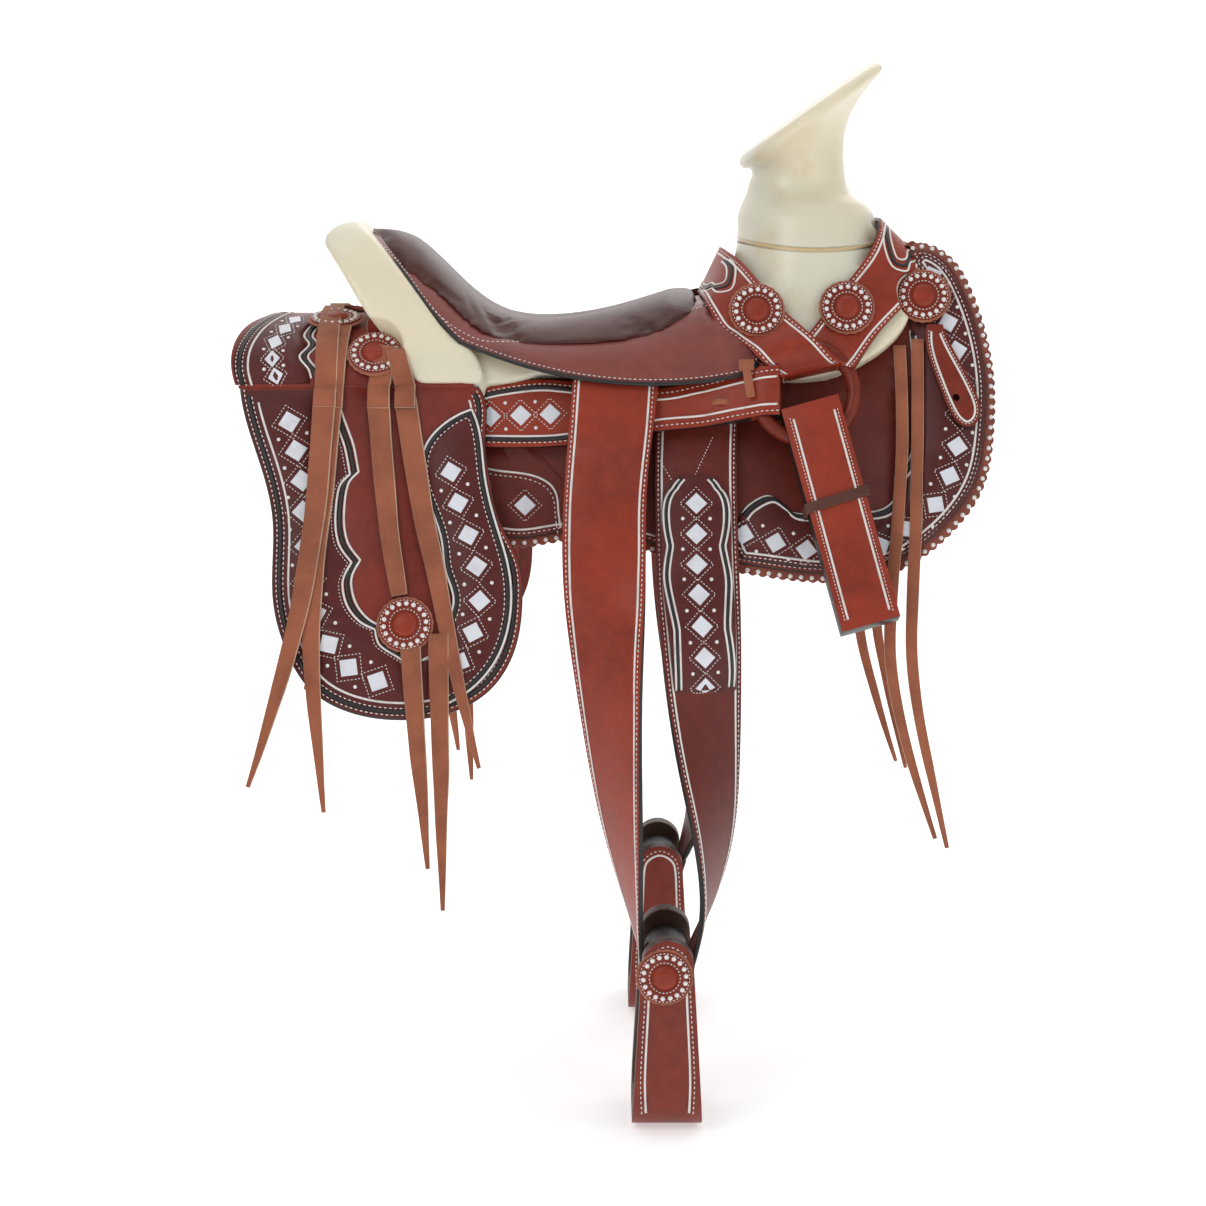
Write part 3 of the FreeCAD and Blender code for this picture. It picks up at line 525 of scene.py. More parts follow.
def inset(points, depth, keep=None):
    """A closed line moved inwards, and whether it is still closed.

    Parts that fold back are dropped, and with a test only the longest stretch beside points that pass it is kept."""
    count = len(points)
    flags = [keep is None or keep(point) for point in points]
    start = flags.index(False) if False in flags else 0
    runs = [[]]
    for step in range(count):
        index = (start + step) % count
        if not flags[index]:
            runs.append([])
            continue
        ahead, behind = points[(index + 2) % count], points[index - 2]
        along = (ahead - behind).normalized()
        moved = points[index] + Vector((-along.y, along.x)) * depth
        near = min((moved - points[(index + shift) % count]).length for shift in range(-24, 25))
        if near > abs(depth) * 0.93:
            runs[-1].append(moved)
    return max(runs, key=len), False not in flags


# ------------------------------------------------------------------ mesh building
def new_piece(name, mesh, body, material=None, slot=None, smooth=True):
    piece = bpy.data.objects.new(name, mesh)
    bpy.context.scene.collection.objects.link(piece)
    if material is not None:
        for one in (material if isinstance(material, (list, tuple)) else [material]):
            mesh.materials.append(one)
    if smooth:
        mesh.shade_smooth()
    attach(piece, body)
    return piece


def mesh_from(name, verts, faces, marks=None):
    mesh = bpy.data.meshes.new(name)
    mesh.from_pydata([tuple(vert) for vert in verts], [], faces)
    if marks:
        mesh.polygons.foreach_set("material_index", marks)
    mesh.update()
    return mesh


def merged_copy(*nodes):
    work = bmesh.new()
    for node in nodes:
        work.from_mesh(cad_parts[node].data)
    bmesh.ops.remove_doubles(work, verts=work.verts, dist=2e-5)
    return work


def softened(node, body, material, edge=None, bevel=0.0009, slot=None, deep=7.0):
    """A leather piece with rounded, inked edges, from its CAD solid.

    A face with more than this depth of leather behind it is a cut edge."""
    work = merged_copy(node)
    tree = BVHTree.FromBMesh(work)
    bmesh.ops.dissolve_limit(work, angle_limit=math.radians(1.5), verts=work.verts, edges=work.edges)
    bmesh.ops.triangulate(work, faces=[face for face in work.faces if len(face.verts) > 4])
    work.normal_update()
    if edge:
        for face in work.faces:
            inside = face.calc_center_median() - face.normal * 0.0003
            hit = tree.ray_cast(inside, -face.normal)
            face.material_index = 1 if hit[3] is not None and hit[3] > deep * MM else 0
    mesh = bpy.data.meshes.new(node + "_made")
    work.to_mesh(mesh)
    work.free()
    piece = new_piece(node + "_made", mesh, body, [material] + ([edge] if edge else []), slot, smooth=False)
    modifier = piece.modifiers.new("rounded", "BEVEL")
    modifier.width, modifier.segments = bevel, 2
    modifier.limit_method, modifier.angle_limit = "ANGLE", math.radians(38)
    modifier.harden_normals = False
    finish_modifiers(piece)
    piece.data.shade_smooth()
    piece.data.set_sharp_from_angle(angle=math.radians(42))
    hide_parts(node)
    return piece


def finish_modifiers(piece):
    """Apply every modifier, and keep the piece's plain mesh."""
    graph = bpy.context.evaluated_depsgraph_get()
    graph.update()
    mesh = bpy.data.meshes.new_from_object(piece.evaluated_get(graph), depsgraph=graph)
    old = piece.data
    piece.modifiers.clear()
    mesh.name = piece.name
    piece.data = mesh
    if old.users == 0:
        bpy.data.meshes.remove(old)


def section_sweep(points, outs, section, closed=False, widths=None, cap=True):
    """Verts and faces of a section of (across, up) points swept along a line."""
    verts, faces = [], []
    count, around = len(points), len(section)
    for index, (point, out) in enumerate(zip(points, outs)):
        ahead = points[(index + 1) % count] if closed else points[min(index + 1, count - 1)]
        behind = points[index - 1] if closed or index else points[0]
        along = (ahead - behind).normalized()
        across = along.cross(out).normalized()
        up = across.cross(along)
        share = widths[index] if widths else 1.0
        for wide, high in section:
            verts.append(point + across * wide * share + up * high)
    spans = count if closed else count - 1
    for index in range(spans):
        low, high = index * around, ((index + 1) % count) * around
        for k in range(around):
            n = (k + 1) % around
            faces.append((low + k, high + k, high + n, low + n))
    if cap and not closed:
        faces.append(tuple(range(around)))
        faces.append(tuple(range((count - 1) * around, count * around))[::-1])
    return verts, faces


def oval(half_width, half_height, count=6):
    return [(half_width * math.cos(2 * math.pi * k / count), half_height * math.sin(2 * math.pi * k / count))
            for k in range(count)]


def joined(parts):
    """Several (verts, faces) lists as one."""
    verts, faces = [], []
    for some_verts, some_faces in parts:
        base = len(verts)
        verts += some_verts
        faces += [tuple(base + k for k in face) for face in some_faces]
    return verts, faces


def righted(mesh):
    """Faces point outwards."""
    work = bmesh.new()
    work.from_mesh(mesh)
    bmesh.ops.recalc_face_normals(work, faces=work.faces)
    work.to_mesh(mesh)
    work.free()
    return mesh


# ------------------------------------------------------------------ sewing, kept until it is all laid
SEWING = {}


def sew(kind, body, points, outs, closed=False):
    """Lay a line of stitches, white lacing, black channel or studs."""
    if isinstance(outs, Vector):
        outs = [outs] * len(points)
    SEWING.setdefault((kind, body), []).append((list(points), list(outs), closed))


def sew_slope(kind, body, line, out, side, closed=False):
    """The same, for a line of (x, drop) on a side sheet."""
    points = [on_slope(p[0], p[1], out, side) for p in line]
    sew(kind, body, points, outward(side), closed)


def sew_edge(body, outline, out, side, rows, keep=None):
    """Rows set in from an outline: (kind, distance from the edge)."""
    for kind, depth in rows:
        line, closed = inset(outline, depth, keep)
        if len(line) > 3:
            sew_slope(kind, body, line, out, side, closed)


def diamond_row(body, centres, place, side, tangent_of=None, dots=True, stitched=True, size=None):
    """White diamonds set on point along a row, each in a stitched frame, with dot pairs between."""
    half = (size or sizes().diamond / MM) * 0.5 * math.sqrt(2)
    frame_half = half * 1.52
    count = len(centres)
    turn_out = []
    for index, centre in enumerate(centres):
        ahead, behind = centres[min(index + 1, count - 1)], centres[max(index - 1, 0)]
        along = (Vector(ahead) - Vector(behind)).normalized() if count > 1 else Vector((1.0, 0.0))
        across = Vector((-along.y, along.x))
        turn_out.append((Vector(centre), along, across))
        corners = [(along, 1), (across, 1), (along, -1), (across, -1)]
        plate = [Vector(centre) + way * sign * half for way, sign in corners]
        INLAYS.setdefault(body, []).append([place(p.x, p.y) for p in plate])
        if stitched:
            loop = [Vector(centre) + way * sign * frame_half for way, sign in corners]
            ring = []
            for one, two in zip(loop, loop[1:] + loop[:1]):
                ring += [one.lerp(two, k / 4) for k in range(4)]
            laid = [place(p.x, p.y) for p in ring]
            sew("fine_stitch", body, [p for p, _ in laid], [o for _, o in laid], True)
    if dots:
        for (one, _, a1), (two, _, a2) in zip(turn_out, turn_out[1:]):
            middle = one.lerp(two, 0.5)
            for sign in (-1, 1):
                dot, out = place(*(middle + (a1 + a2).normalized() * sign * half * 1.25))
                DOTS.setdefault(body, []).append((dot, out))


INLAYS = {}
DOTS = {}


# ------------------------------------------------------------------ repeated pieces by Geometry Nodes
def sewn_tree():
    """Flattened beads along lines: pitch, length, width and height are inputs; its points face 'out'."""
    tree = bpy.data.node_groups.get("sewn_line")
    if tree:
        return tree
    tree = bpy.data.node_groups.new("sewn_line", "GeometryNodeTree")
    tree.is_modifier = True
    face = tree.interface
    face.new_socket("Geometry", in_out="INPUT", socket_type="NodeSocketGeometry")
    for title, start in (("Pitch", 0.005), ("Length", 0.003), ("Width", 0.001), ("Height", 0.0005)):
        face.new_socket(title, in_out="INPUT", socket_type="NodeSocketFloat").default_value = start
    face.new_socket("Material", in_out="INPUT", socket_type="NodeSocketMaterial")
    face.new_socket("Geometry", in_out="OUTPUT", socket_type="NodeSocketGeometry")

    def add(kind, inputs=(), **settings):
        node = tree.nodes.new(kind)
        for key, value in settings.items():
            setattr(node, key, value)
        for key, value in inputs:
            if isinstance(value, bpy.types.NodeSocket):
                tree.links.new(value, node.inputs[key])
            else:
                node.inputs[key].default_value = value
        return node

    given = add("NodeGroupInput").outputs
    curve = add("GeometryNodeMeshToCurve", [("Mesh", given["Geometry"])]).outputs[0]
    even = add("GeometryNodeResampleCurve", [("Curve", curve), ("Length", given["Pitch"])], mode="LENGTH").outputs[0]
    out = add("GeometryNodeInputNamedAttribute", [("Name", "out")], data_type="FLOAT_VECTOR").outputs["Attribute"]
    tangent = add("GeometryNodeInputTangent").outputs[0]
    facing = add("FunctionNodeAlignRotationToVector", [("Vector", out)], axis="Z").outputs[0]
    turned = add("FunctionNodeAlignRotationToVector", [("Rotation", facing), ("Vector", tangent)], axis="X",
                 pivot_axis="Z").outputs[0]
    bead = add("GeometryNodeMeshUVSphere", [("Segments", 6), ("Rings", 4), ("Radius", 0.5)]).outputs[0]
    size = add("ShaderNodeCombineXYZ", [("X", given["Length"]), ("Y", given["Width"]), ("Z", given["Height"])])
    laid = add("GeometryNodeInstanceOnPoints", [("Points", even), ("Instance", bead), ("Rotation", turned),
                                                ("Scale", size.outputs[0])]).outputs[0]
    real = add("GeometryNodeRealizeInstances", [("Geometry", laid)]).outputs[0]
    round_ = add("GeometryNodeSetShadeSmooth", [("Geometry", real)]).outputs[0]
    painted = add("GeometryNodeSetMaterial", [("Geometry", round_), ("Material", given["Material"])]).outputs[0]
    add("NodeGroupOutput", [("Geometry", painted)])
    return tree


def beads_along(name, lines, body, pitch, length, width, height, material):
    verts, edges, outs = [], [], []
    for points, normals, closed in lines:
        base = len(verts)
        verts += [tuple(point) for point in points]
        outs += [tuple(normal) for normal in normals]
        edges += [(base + k, base + k + 1) for k in range(len(points) - 1)]
        if closed:
            edges.append((base + len(points) - 1, base))
    mesh = bpy.data.meshes.new(name + "_lines")
    mesh.from_pydata(verts, edges, [])
    attribute = mesh.attributes.new("out", "FLOAT_VECTOR", "POINT")
    attribute.data.foreach_set("vector", [part for out in outs for part in out])
    piece = bpy.data.objects.new(name, mesh)
    bpy.context.scene.collection.objects.link(piece)
    modifier = piece.modifiers.new("sewn", "NODES")
    modifier.node_group = sewn_tree()
    given = {"Pitch": pitch, "Length": length, "Width": width, "Height": height, "Material": material}
    for item in modifier.node_group.interface.items_tree:
        if item.in_out == "INPUT" and item.name in given:
            modifier[item.identifier] = given[item.name]
    finish_modifiers(piece)
    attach(piece, body)
    return piece


def strips_along(name, lines, body, half_width, half_height, material):
    parts = []
    for points, outs, closed in lines:
        parts.append(section_sweep(points, outs, oval(half_width, half_height), closed))
    verts, faces = joined(parts)
    return new_piece(name, righted(mesh_from(name, verts, faces)), body, material)


def button(centre, out, radius, height, around=8):
    """A small dome."""
    side = out.orthogonal().normalized()
    other = out.cross(side)
    verts, faces = [], []
    for lift, share in ((-0.3, 1.0), (0.35, 0.94), (0.8, 0.6)):
        for k in range(around):
            turn = 2 * math.pi * k / around
            verts.append(centre + out * height * lift
                         + (side * math.cos(turn) + other * math.sin(turn)) * radius * share)
    verts.append(centre + out * height)
    for ring in range(2):
        for k in range(around):
            n = (k + 1) % around
            faces.append((ring * around + k, ring * around + n, (ring + 1) * around + n, (ring + 1) * around + k))
    for k in range(around):
        faces.append((2 * around + k, 2 * around + (k + 1) % around, 3 * around))
    faces.append(tuple(range(around))[::-1])
    return verts, faces


# ------------------------------------------------------------------ straps through stations
def strap_rails(stations, pieces=10):
    """Both edges and the outward directions of a strap, smoothed through its stations."""
    one = smooth_run([row[0] for row in stations], pieces)
    two = smooth_run([row[1] for row in stations], pieces)
    out = [row.normalized() for row in smooth_run([row[2] for row in stations], pieces)]
    return one, two, out


class Skin:
    """The surface of a CAD piece, to lay sewing on."""

    def __init__(self, *nodes):
        work = merged_copy(*nodes)
        self.tree = BVHTree.FromBMesh(work)
        work.free()

    def snap(self, point, out, reach=0.03):
        hit = self.tree.ray_cast(point + out * reach, -out, reach * 2.5)
        if hit[0] is None:
            near = self.tree.find_nearest(point)
            return near[0], near[1]
        return hit[0], hit[1]


def strap_line(rails, skin, set_in, side=1.0, lift=0.0002, low=0.0, high=1.0, reach=0.03, wave=0.0):
    """A line along a strap, this far in from its first edge (or from its second when negative)."""
    one, two, out = rails
    points, outs = [], []
    count = len(one)
    for index in range(count):
        if not low <= index / (count - 1) <= high:
            continue
        a, b, o = one[index], two[index], out[index]
        across = (b - a).normalized()
        swell = wave * (1 - abs(math.cos(math.pi * 4.0 * index / (count - 1))))
        depth = (set_in + math.copysign(swell, set_in)) * MM
        place = a + across * depth if depth >= 0 else b + across * depth
        place, o = mirrored(place, side), mirrored(o, side)
        hit, normal = skin.snap(place, o, reach)
        if normal.dot(o) < 0.5:
            normal = o
        points.append(hit + normal * lift)
        outs.append(normal)
    return points, outs


def sew_strap(body, rails, skin, rows, side=1.0, low=0.0, high=1.0, reach=0.03):
    for kind, depth in rows:
        for sign in (1, -1):
            points, outs = strap_line(rails, skin, depth * sign, side, low=low, high=high, reach=reach)
            if len(points) > 3:
                sew(kind, body, points, outs)


EDGE_ROWS = [("stitch", 3.2), ("white", 6.6)]


def slope_stations(rows, low):
    return [(on_slope(x - half, drop, low), on_slope(x + half, drop, low), outward()) for x, half, drop in rows]


def hanging_stations(rows, sign, thick):
    made = []
    for x, y, z, twist, half in rows:
        turn = math.radians(twist)
        across = Vector((math.cos(turn), sign * math.sin(turn), 0))
        out = Vector((sign * math.sin(turn), -math.cos(turn), 0))
        middle = (Vector((x, y, z)) + out * thick / 2) * MM
        made.append((middle - across * half * MM, middle + across * half * MM, out))
    return made


# ------------------------------------------------------------------ the pieces, one operator each
class Maker(bpy.types.Operator):
    """Base of the saddle's operators."""
    bl_idname = "saddle.base"
    bl_label = "Base"
    bl_options = {"REGISTER", "UNDO"}

    def execute(self, context):
        self.make()
        return {"FINISHED"}

    def make(self):
        raise RuntimeError("nothing to make")


class MakeStage(Maker):
    """Camera, pale floor and soft studio light"""
    bl_idname = "saddle.stage"
    bl_label = "Stage"

    def make(self):
        scene = bpy.context.scene
        camera = bpy.data.cameras.new("camera")
        camera.sensor_width, camera.lens = 36.0, 89.55
        camera.clip_end = 50.0
        holder = bpy.data.objects.new("camera", camera)
        scene.collection.objects.link(holder)
        holder.location = (0.0, -2.9708, 0.1535)
        aim = Vector((0.0, 0.0, -0.264)) - holder.location
        holder.rotation_euler = aim.to_track_quat("-Z", "Y").to_euler()
        scene.camera = holder
        world = bpy.data.worlds.new("studio")
        world.use_nodes = True
        world.node_tree.nodes["Background"].inputs[0].default_value = (1.0, 1.0, 1.0, 1.0)
        world.node_tree.nodes["Background"].inputs[1].default_value = 0.42
        scene.world = world
        scene.view_settings.view_transform = "Standard"
        low = CAD_BOX[0][2] - 0.0015
        verts, faces = [], []
        sweep = [(-9.0, low), (1.6, low)]
        for step in range(1, 9):
            turn = math.radians(90 * step / 8)
            sweep.append((1.6 + 1.2 * math.sin(turn), low + 1.2 * (1 - math.cos(turn))))
        sweep.append((2.8, 7.0))
        for y, z in sweep:
            verts += [(-9.0, y, z), (9.0, y, z)]
        for k in range(len(sweep) - 1):
            faces.append((2 * k, 2 * k + 1, 2 * k + 3, 2 * k + 2))
        mesh = mesh_from("floor", verts, faces)
        mesh.materials.append(paper_floor())
        mesh.shade_smooth()
        floor = bpy.data.objects.new("floor", mesh)
        scene.collection.objects.link(floor)
        for name, place, energy, size in (("key", (-1.7, -2.6, 2.1), 27.0, 1.6), ("fill", (2.4, -2.2, 0.9), 11.0, 1.8),
                                          ("top", (0.2, 0.2, 2.6), 16.0, 2.2), ("back", (0.6, 2.4, 1.4), 10.0, 1.8)):
            light = bpy.data.lights.new(name, "AREA")
            light.energy, light.size = energy, size
            lamp = bpy.data.objects.new(name, light)
            scene.collection.objects.link(lamp)
            lamp.location = place
            lamp.rotation_euler = (Vector((0, 0, -0.25)) - lamp.location).to_track_quat("-Z", "Y").to_euler()


STRING_SECTION = [(-1.0, -0.4), (-0.97, 0.4), (-0.90, 0.5), (0.90, 0.5), (0.97, 0.4), (1.0, -0.4), (0.94, -0.5),
                  (-0.94, -0.5)]


def string_mesh(name, points, outs, widths, thick, phase):
    """A flat suede strap with softly wavy edges; its cut edges are the second material."""
    verts, faces, marks = [], [], []
    count = len(points)
    lengths = [0.0]
    for a, b in zip(points, points[1:]):
        lengths.append(lengths[-1] + (b - a).length)
    for index in range(count):
        share = lengths[index] / lengths[-1]
        spot = share * (len(widths) - 1)
        k = min(int(spot), len(widths) - 2)
        width = (widths[k] + (widths[k + 1] - widths[k]) * (spot - k)) * MM
        along = (points[min(index + 1, count - 1)] - points[max(index - 1, 0)]).normalized()
        across = along.cross(outs[index]).normalized()
        up = across.cross(along)
        sway = 0.035 * width * math.sin(lengths[index] / 0.021 + phase)
        curl = 0.0007 * math.sin(lengths[index] / 0.034 + phase * 1.7)
        for wide, high in STRING_SECTION:
            reach = wide * width / 2 * (0.975 + 0.02 * math.sin(lengths[index] / 0.013 + phase + wide))
            verts.append(points[index] + across * (reach + sway * 0.4) + up * (high * thick * MM + curl * abs(wide)))
    around = len(STRING_SECTION)
    for index in range(count - 1):
        for k in range(around):
            n = (k + 1) % around
            faces.append((index * around + k, (index + 1) * around + k, (index + 1) * around + n, index * around + n))
            marks.append(1 if k in (0, 1, 4, 5) else 0)
    faces += [tuple(range(around)), tuple(range((count - 1) * around, count * around))[::-1]]
    marks += [1, 1]
    return righted(mesh_from(name, verts, faces, marks))


def nurbs_route(points):
    """The points along a NURBS spline of order 3 with these control points."""
    curve = bpy.data.curves.new("route", "CURVE")
    curve.dimensions = "3D"
    curve.resolution_u = 12
    spline = curve.splines.new("NURBS")
    spline.points.add(len(points) - 1)
    for item, point in zip(spline.points, points):
        item.co = (*point, 1.0)
    spline.order_u = 3
    spline.use_endpoint_u = True
    holder = bpy.data.objects.new("route", curve)
    bpy.context.scene.collection.objects.link(holder)
    graph = bpy.context.evaluated_depsgraph_get()
    graph.update()
    mesh = bpy.data.meshes.new_from_object(holder.evaluated_get(graph), depsgraph=graph)
    route = [vert.co.copy() for vert in mesh.vertices]
    bpy.data.objects.remove(holder)
    bpy.data.curves.remove(curve)
    bpy.data.meshes.remove(mesh)
    return route


class MakeStrings(Maker):
    """Suede saddle strings: six on each saddlebag and two at each front"""
    bl_idname = "saddle.strings"
    bl_label = "Saddle strings"

    def make(self):
        rear = [([(-262, 6), (-266, 90), (-276, 190), (-300, 300), (-326, 385)], [22, 21, 19, 14, 4]),
                ([(-256, 6), (-263, 110), (-273, 210), (-268, 310), (-256, 408)], [22, 21, 19, 14, 4]),
                ([(-212, 17), (-205, 120), (-190, 204)], [22, 20, 16]),
                ([(-187, 14), (-172, 110), (-150, 210), (-132, 300), (-114, 367)], [22, 21, 18, 13, 4]),
                ([(-179, 253), (-172, 340), (-160, 460)], [20, 16, 4]),
                ([(-153, 241), (-150, 340), (-146, 498)], [20, 16, 4])]
        front = [([(284, -46), (286, 20), (281, 110), (272, 186)], [(268, -300), (290, -390), (314, -462)], 0.0),
                 ([(301, -52), (300, 20), (297, 110), (292, 186)], [(288, -300), (306, -390), (325, -470)], 5.0)]
        skins = (suede("suede_string", tuple(colours().suede)), suede("suede_edge", (0.62, 0.40, 0.27)))
        for side_name, side in SIDES.items():
            for index, (line, widths) in enumerate(rear):
                out = STRING_OUT + (4.0 if index == 0 else 0.0)
                route = [on_slope(x, drop, out, side) for x, drop in line]
                self.lay("rear_string_%d_%s" % (index + 1, side_name), route, outward(side), widths, index,
                         "flap_" + side_name, skins, "rear_strings_" + side_name)
            for index, (line, low, proud) in enumerate(front):
                route = [on_slope(x, drop, 6.0, side) for x, drop in line]
                y = on_slope(0, 240, 6.0 + proud, side).y
                route += [Vector((x * MM, y, z * MM)) for x, z in low]
                self.lay("front_string_%d_%s" % (index + 1, side_name), route, outward(side),
                         [12, 12, 12, 12, 11, 9, 4], index + 7, "saddle", skins, "front_strings_" + side_name)

    def lay(self, name, route, out, widths, phase, body, skins, node):
        path = resampled(nurbs_route(route), 0.006)
        mesh = string_mesh(name, path, [out] * len(path), widths, STRING_THICK, phase)
        piece = new_piece(name, mesh, body, skins, "string_suede")
        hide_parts(node)
        length = sum((a - b).length for a, b in zip(path, path[1:]))


STRING_THICK = 3.0


class MakeTree(Maker):
    """Rawhide-covered tree: horn and fork, cantle and bars under one skin"""
    bl_idname = "saddle.tree"
    bl_label = "Tree"

    def make(self):
        nodes = ("horn_and_fork", "cantle", "bar_right", "bar_left")
        work = merged_copy(*nodes)
        mesh = bpy.data.meshes.new("tree")
        work.to_mesh(mesh)
        work.free()
        piece = new_piece("tree", mesh, "saddle", rawhide(), "rawhide")
        remesh = piece.modifiers.new("skin", "REMESH")
        remesh.mode, remesh.voxel_size, remesh.adaptivity = "VOXEL", sizes().remesh, 0.0
        relax = piece.modifiers.new("relax", "CORRECTIVE_SMOOTH")
        relax.smooth_type, relax.iterations, relax.use_only_smooth = "LENGTH_WEIGHTED", 0, True
        piece.modifiers.remove(relax)
        relax = piece.modifiers.new("relax", "SMOOTH")
        relax.factor, relax.iterations = 0.5, 5
        finish_modifiers(piece)
        piece.data.shade_smooth()
        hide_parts(*nodes)


class MakeSeat(Maker):
    """Padded seat with its seam, and the smooth leather under it with a bound hem"""
    bl_idname = "saddle.seat"
    bl_label = "Seat"

    def make(self):
        self.pad()
        self.leather()

    def pad(self):
        work = merged_copy("seat_pad")
        work.normal_update()
        for vert in work.verts:
            if vert.normal.z < 0.3:
                vert.co.z -= 0.0042
        mesh = bpy.data.meshes.new("seat_pad_made")
        work.to_mesh(mesh)
        work.free()
        pad = new_piece("seat_pad_made", mesh, "saddle", seat_finish(), "padded_leather")
        remesh = pad.modifiers.new("remesh", "REMESH")
        remesh.mode, remesh.voxel_size = "VOXEL", 0.0036
        finish_modifiers(pad)
        self.shrink(pad.data, 0.0004)
        rest = [vert.co.copy() for vert in pad.data.vertices]
        cloth = pad.modifiers.new("cloth", "CLOTH")
        cloth.settings.quality = 5
        cloth.settings.mass = 0.3
        cloth.settings.tension_stiffness = 12.0
        cloth.settings.use_pressure = True
        cloth.settings.uniform_pressure_force = 4.0
        cloth.settings.effector_weights.gravity = 0.0
        scene = bpy.context.scene
        for number in range(1, 21):
            scene.frame_set(number)
        graph = bpy.context.evaluated_depsgraph_get()
        swollen = bpy.data.meshes.new_from_object(pad.evaluated_get(graph), depsgraph=graph)
        pad.modifiers.clear()
        cap = sizes().pad_swell
        for vert, moved, was in zip(pad.data.vertices, swollen.vertices, rest):
            move = moved.co - was
            if move.length > cap:
                move *= cap / move.length
            vert.co = was + move
        bpy.data.meshes.remove(swollen)
        scene.frame_set(1)
        smooth = pad.modifiers.new("smooth", "SMOOTH")
        smooth.factor, smooth.iterations = 0.5, 2
        finer = pad.modifiers.new("finer", "SUBSURF")
        finer.levels = finer.render_levels = 1
        finish_modifiers(pad)
        pad.data.shade_smooth()
        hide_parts("seat_pad")

    def shrink(self, mesh, depth):
        normals = [vert.normal.copy() for vert in mesh.vertices]
        for vert, normal in zip(mesh.vertices, normals):
            vert.co -= normal * depth

    def leather(self):
        work = merged_copy("seat_leather")
        work.normal_update()
        outer = leather("seat_jockey", tuple(colours().jockey), gloss=0.34, grain=0.45, mottle=0.7)
        under = suede("seat_underside", (0.50, 0.22, 0.13))
        for face in work.faces:
            centre = face.calc_center_median()
            axis = Vector((0.0, centre.y, centre.z + 0.085)).normalized()
            facing = face.normal.dot(axis)
            face.material_index = 0 if facing > 0.35 else (2 if facing < -0.35 else 1)
        mesh = bpy.data.meshes.new("seat_leather_made")
        work.to_mesh(mesh)
        work.free()
        piece = new_piece("seat_leather_made", mesh, "saddle", [outer, black(), under], "seat_leather", smooth=False)
        piece.data.shade_smooth()
        piece.data.set_sharp_from_angle(angle=math.radians(40))
        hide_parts("seat_leather")
        skin = Skin("seat_leather")
        hem = [(-232, 108), (-197, 72), (-166, 33), (-140, 5), (-127, -3), (-88, -17), (-50, -27), (-12, -34),
               (35, -38), (82, -37), (120, -32), (139, -27), (145, -19)]
        seam = [(-228, 106), (-196, 76), (-172, 44), (-146, 20), (-118, 5), (-96, 3), (-70, 3), (-30, 9), (10, 17),
                (50, 25), (90, 33), (104, 38)]
        for side in SIDES.values():
            for kind, line, shift in (("hem", hem, 2.4), ("stitch", hem, 6.5), ("stitch", seam, 0.0)):
                points, outs = [], []
                for x, z in resampled(smooth_run([Vector(p) for p in line], 8), 5.0):
                    start = Vector((x * MM, -0.4 * side, (z + shift) * MM))
                    hit = skin.tree.ray_cast(start, Vector((0, side, 0)))
                    if hit[0] is None:
                        continue
                    normal = hit[1]
                    points.append(hit[0] + normal * 0.0003)
                    outs.append(normal)
                if len(points) > 3:
                    sew(kind, "saddle", points, outs)


def sheet_from(name, outline, low, high, side, body, materials, slot, lobe=None):
    """A sheet on a side slope from its outline, with rounded edges; lobes scallop its edge."""
    points = outline
    if lobe:
        pitch, depth = lobe
        points = []
        travel = 0.0
        count = len(outline)
        for index, point in enumerate(outline):
            along = (outline[(index + 1) % count] - outline[index - 1]).normalized()
            swell = abs(math.sin(math.pi * travel / pitch)) - 1.0
            points.append(point + Vector((along.y, -along.x)) * swell * depth)
            travel += (outline[(index + 1) % count] - point).length
    rounded = min(0.9, (high - low) * 0.3)
    rings = [(0.0, low + rounded), (rounded, low), (0.0, high - rounded), (rounded, high)]
    inner = inset_same(points, rounded)
    count = len(points)
    verts = [on_slope(p.x, p.y, high, side) for p in inner]
    verts += [on_slope(p.x, p.y, high - rounded, side) for p in points]
    verts += [on_slope(p.x, p.y, low + rounded, side) for p in points]
    verts += [on_slope(p.x, p.y, low, side) for p in inner]
    faces = [tuple(range(count)), tuple(range(3 * count, 4 * count))[::-1]]
    marks = [0, 0]
    for ring in range(3):
        for k in range(count):
            n = (k + 1) % count
            faces.append((ring * count + k, ring * count + n, (ring + 1) * count + n, (ring + 1) * count + k))
            marks.append(1)
    mesh = righted(mesh_from(name, verts, faces, marks))
    piece = new_piece(name, mesh, body, materials, slot, smooth=False)
    mesh.shade_smooth()
    mesh.set_sharp_from_angle(angle=math.radians(50))
    return piece


def inset_same(points, depth):
    """A closed line moved inwards, point for point."""
    count = len(points)
    made = []
    for index in range(count):
        along = (points[(index + 1) % count] - points[index - 1]).normalized()
        made.append(points[index] + Vector((-along.y, along.x)) * depth)
    return made


def slope_place(out, side):
    return lambda x, drop: (on_slope(x, drop, out, side), outward(side))


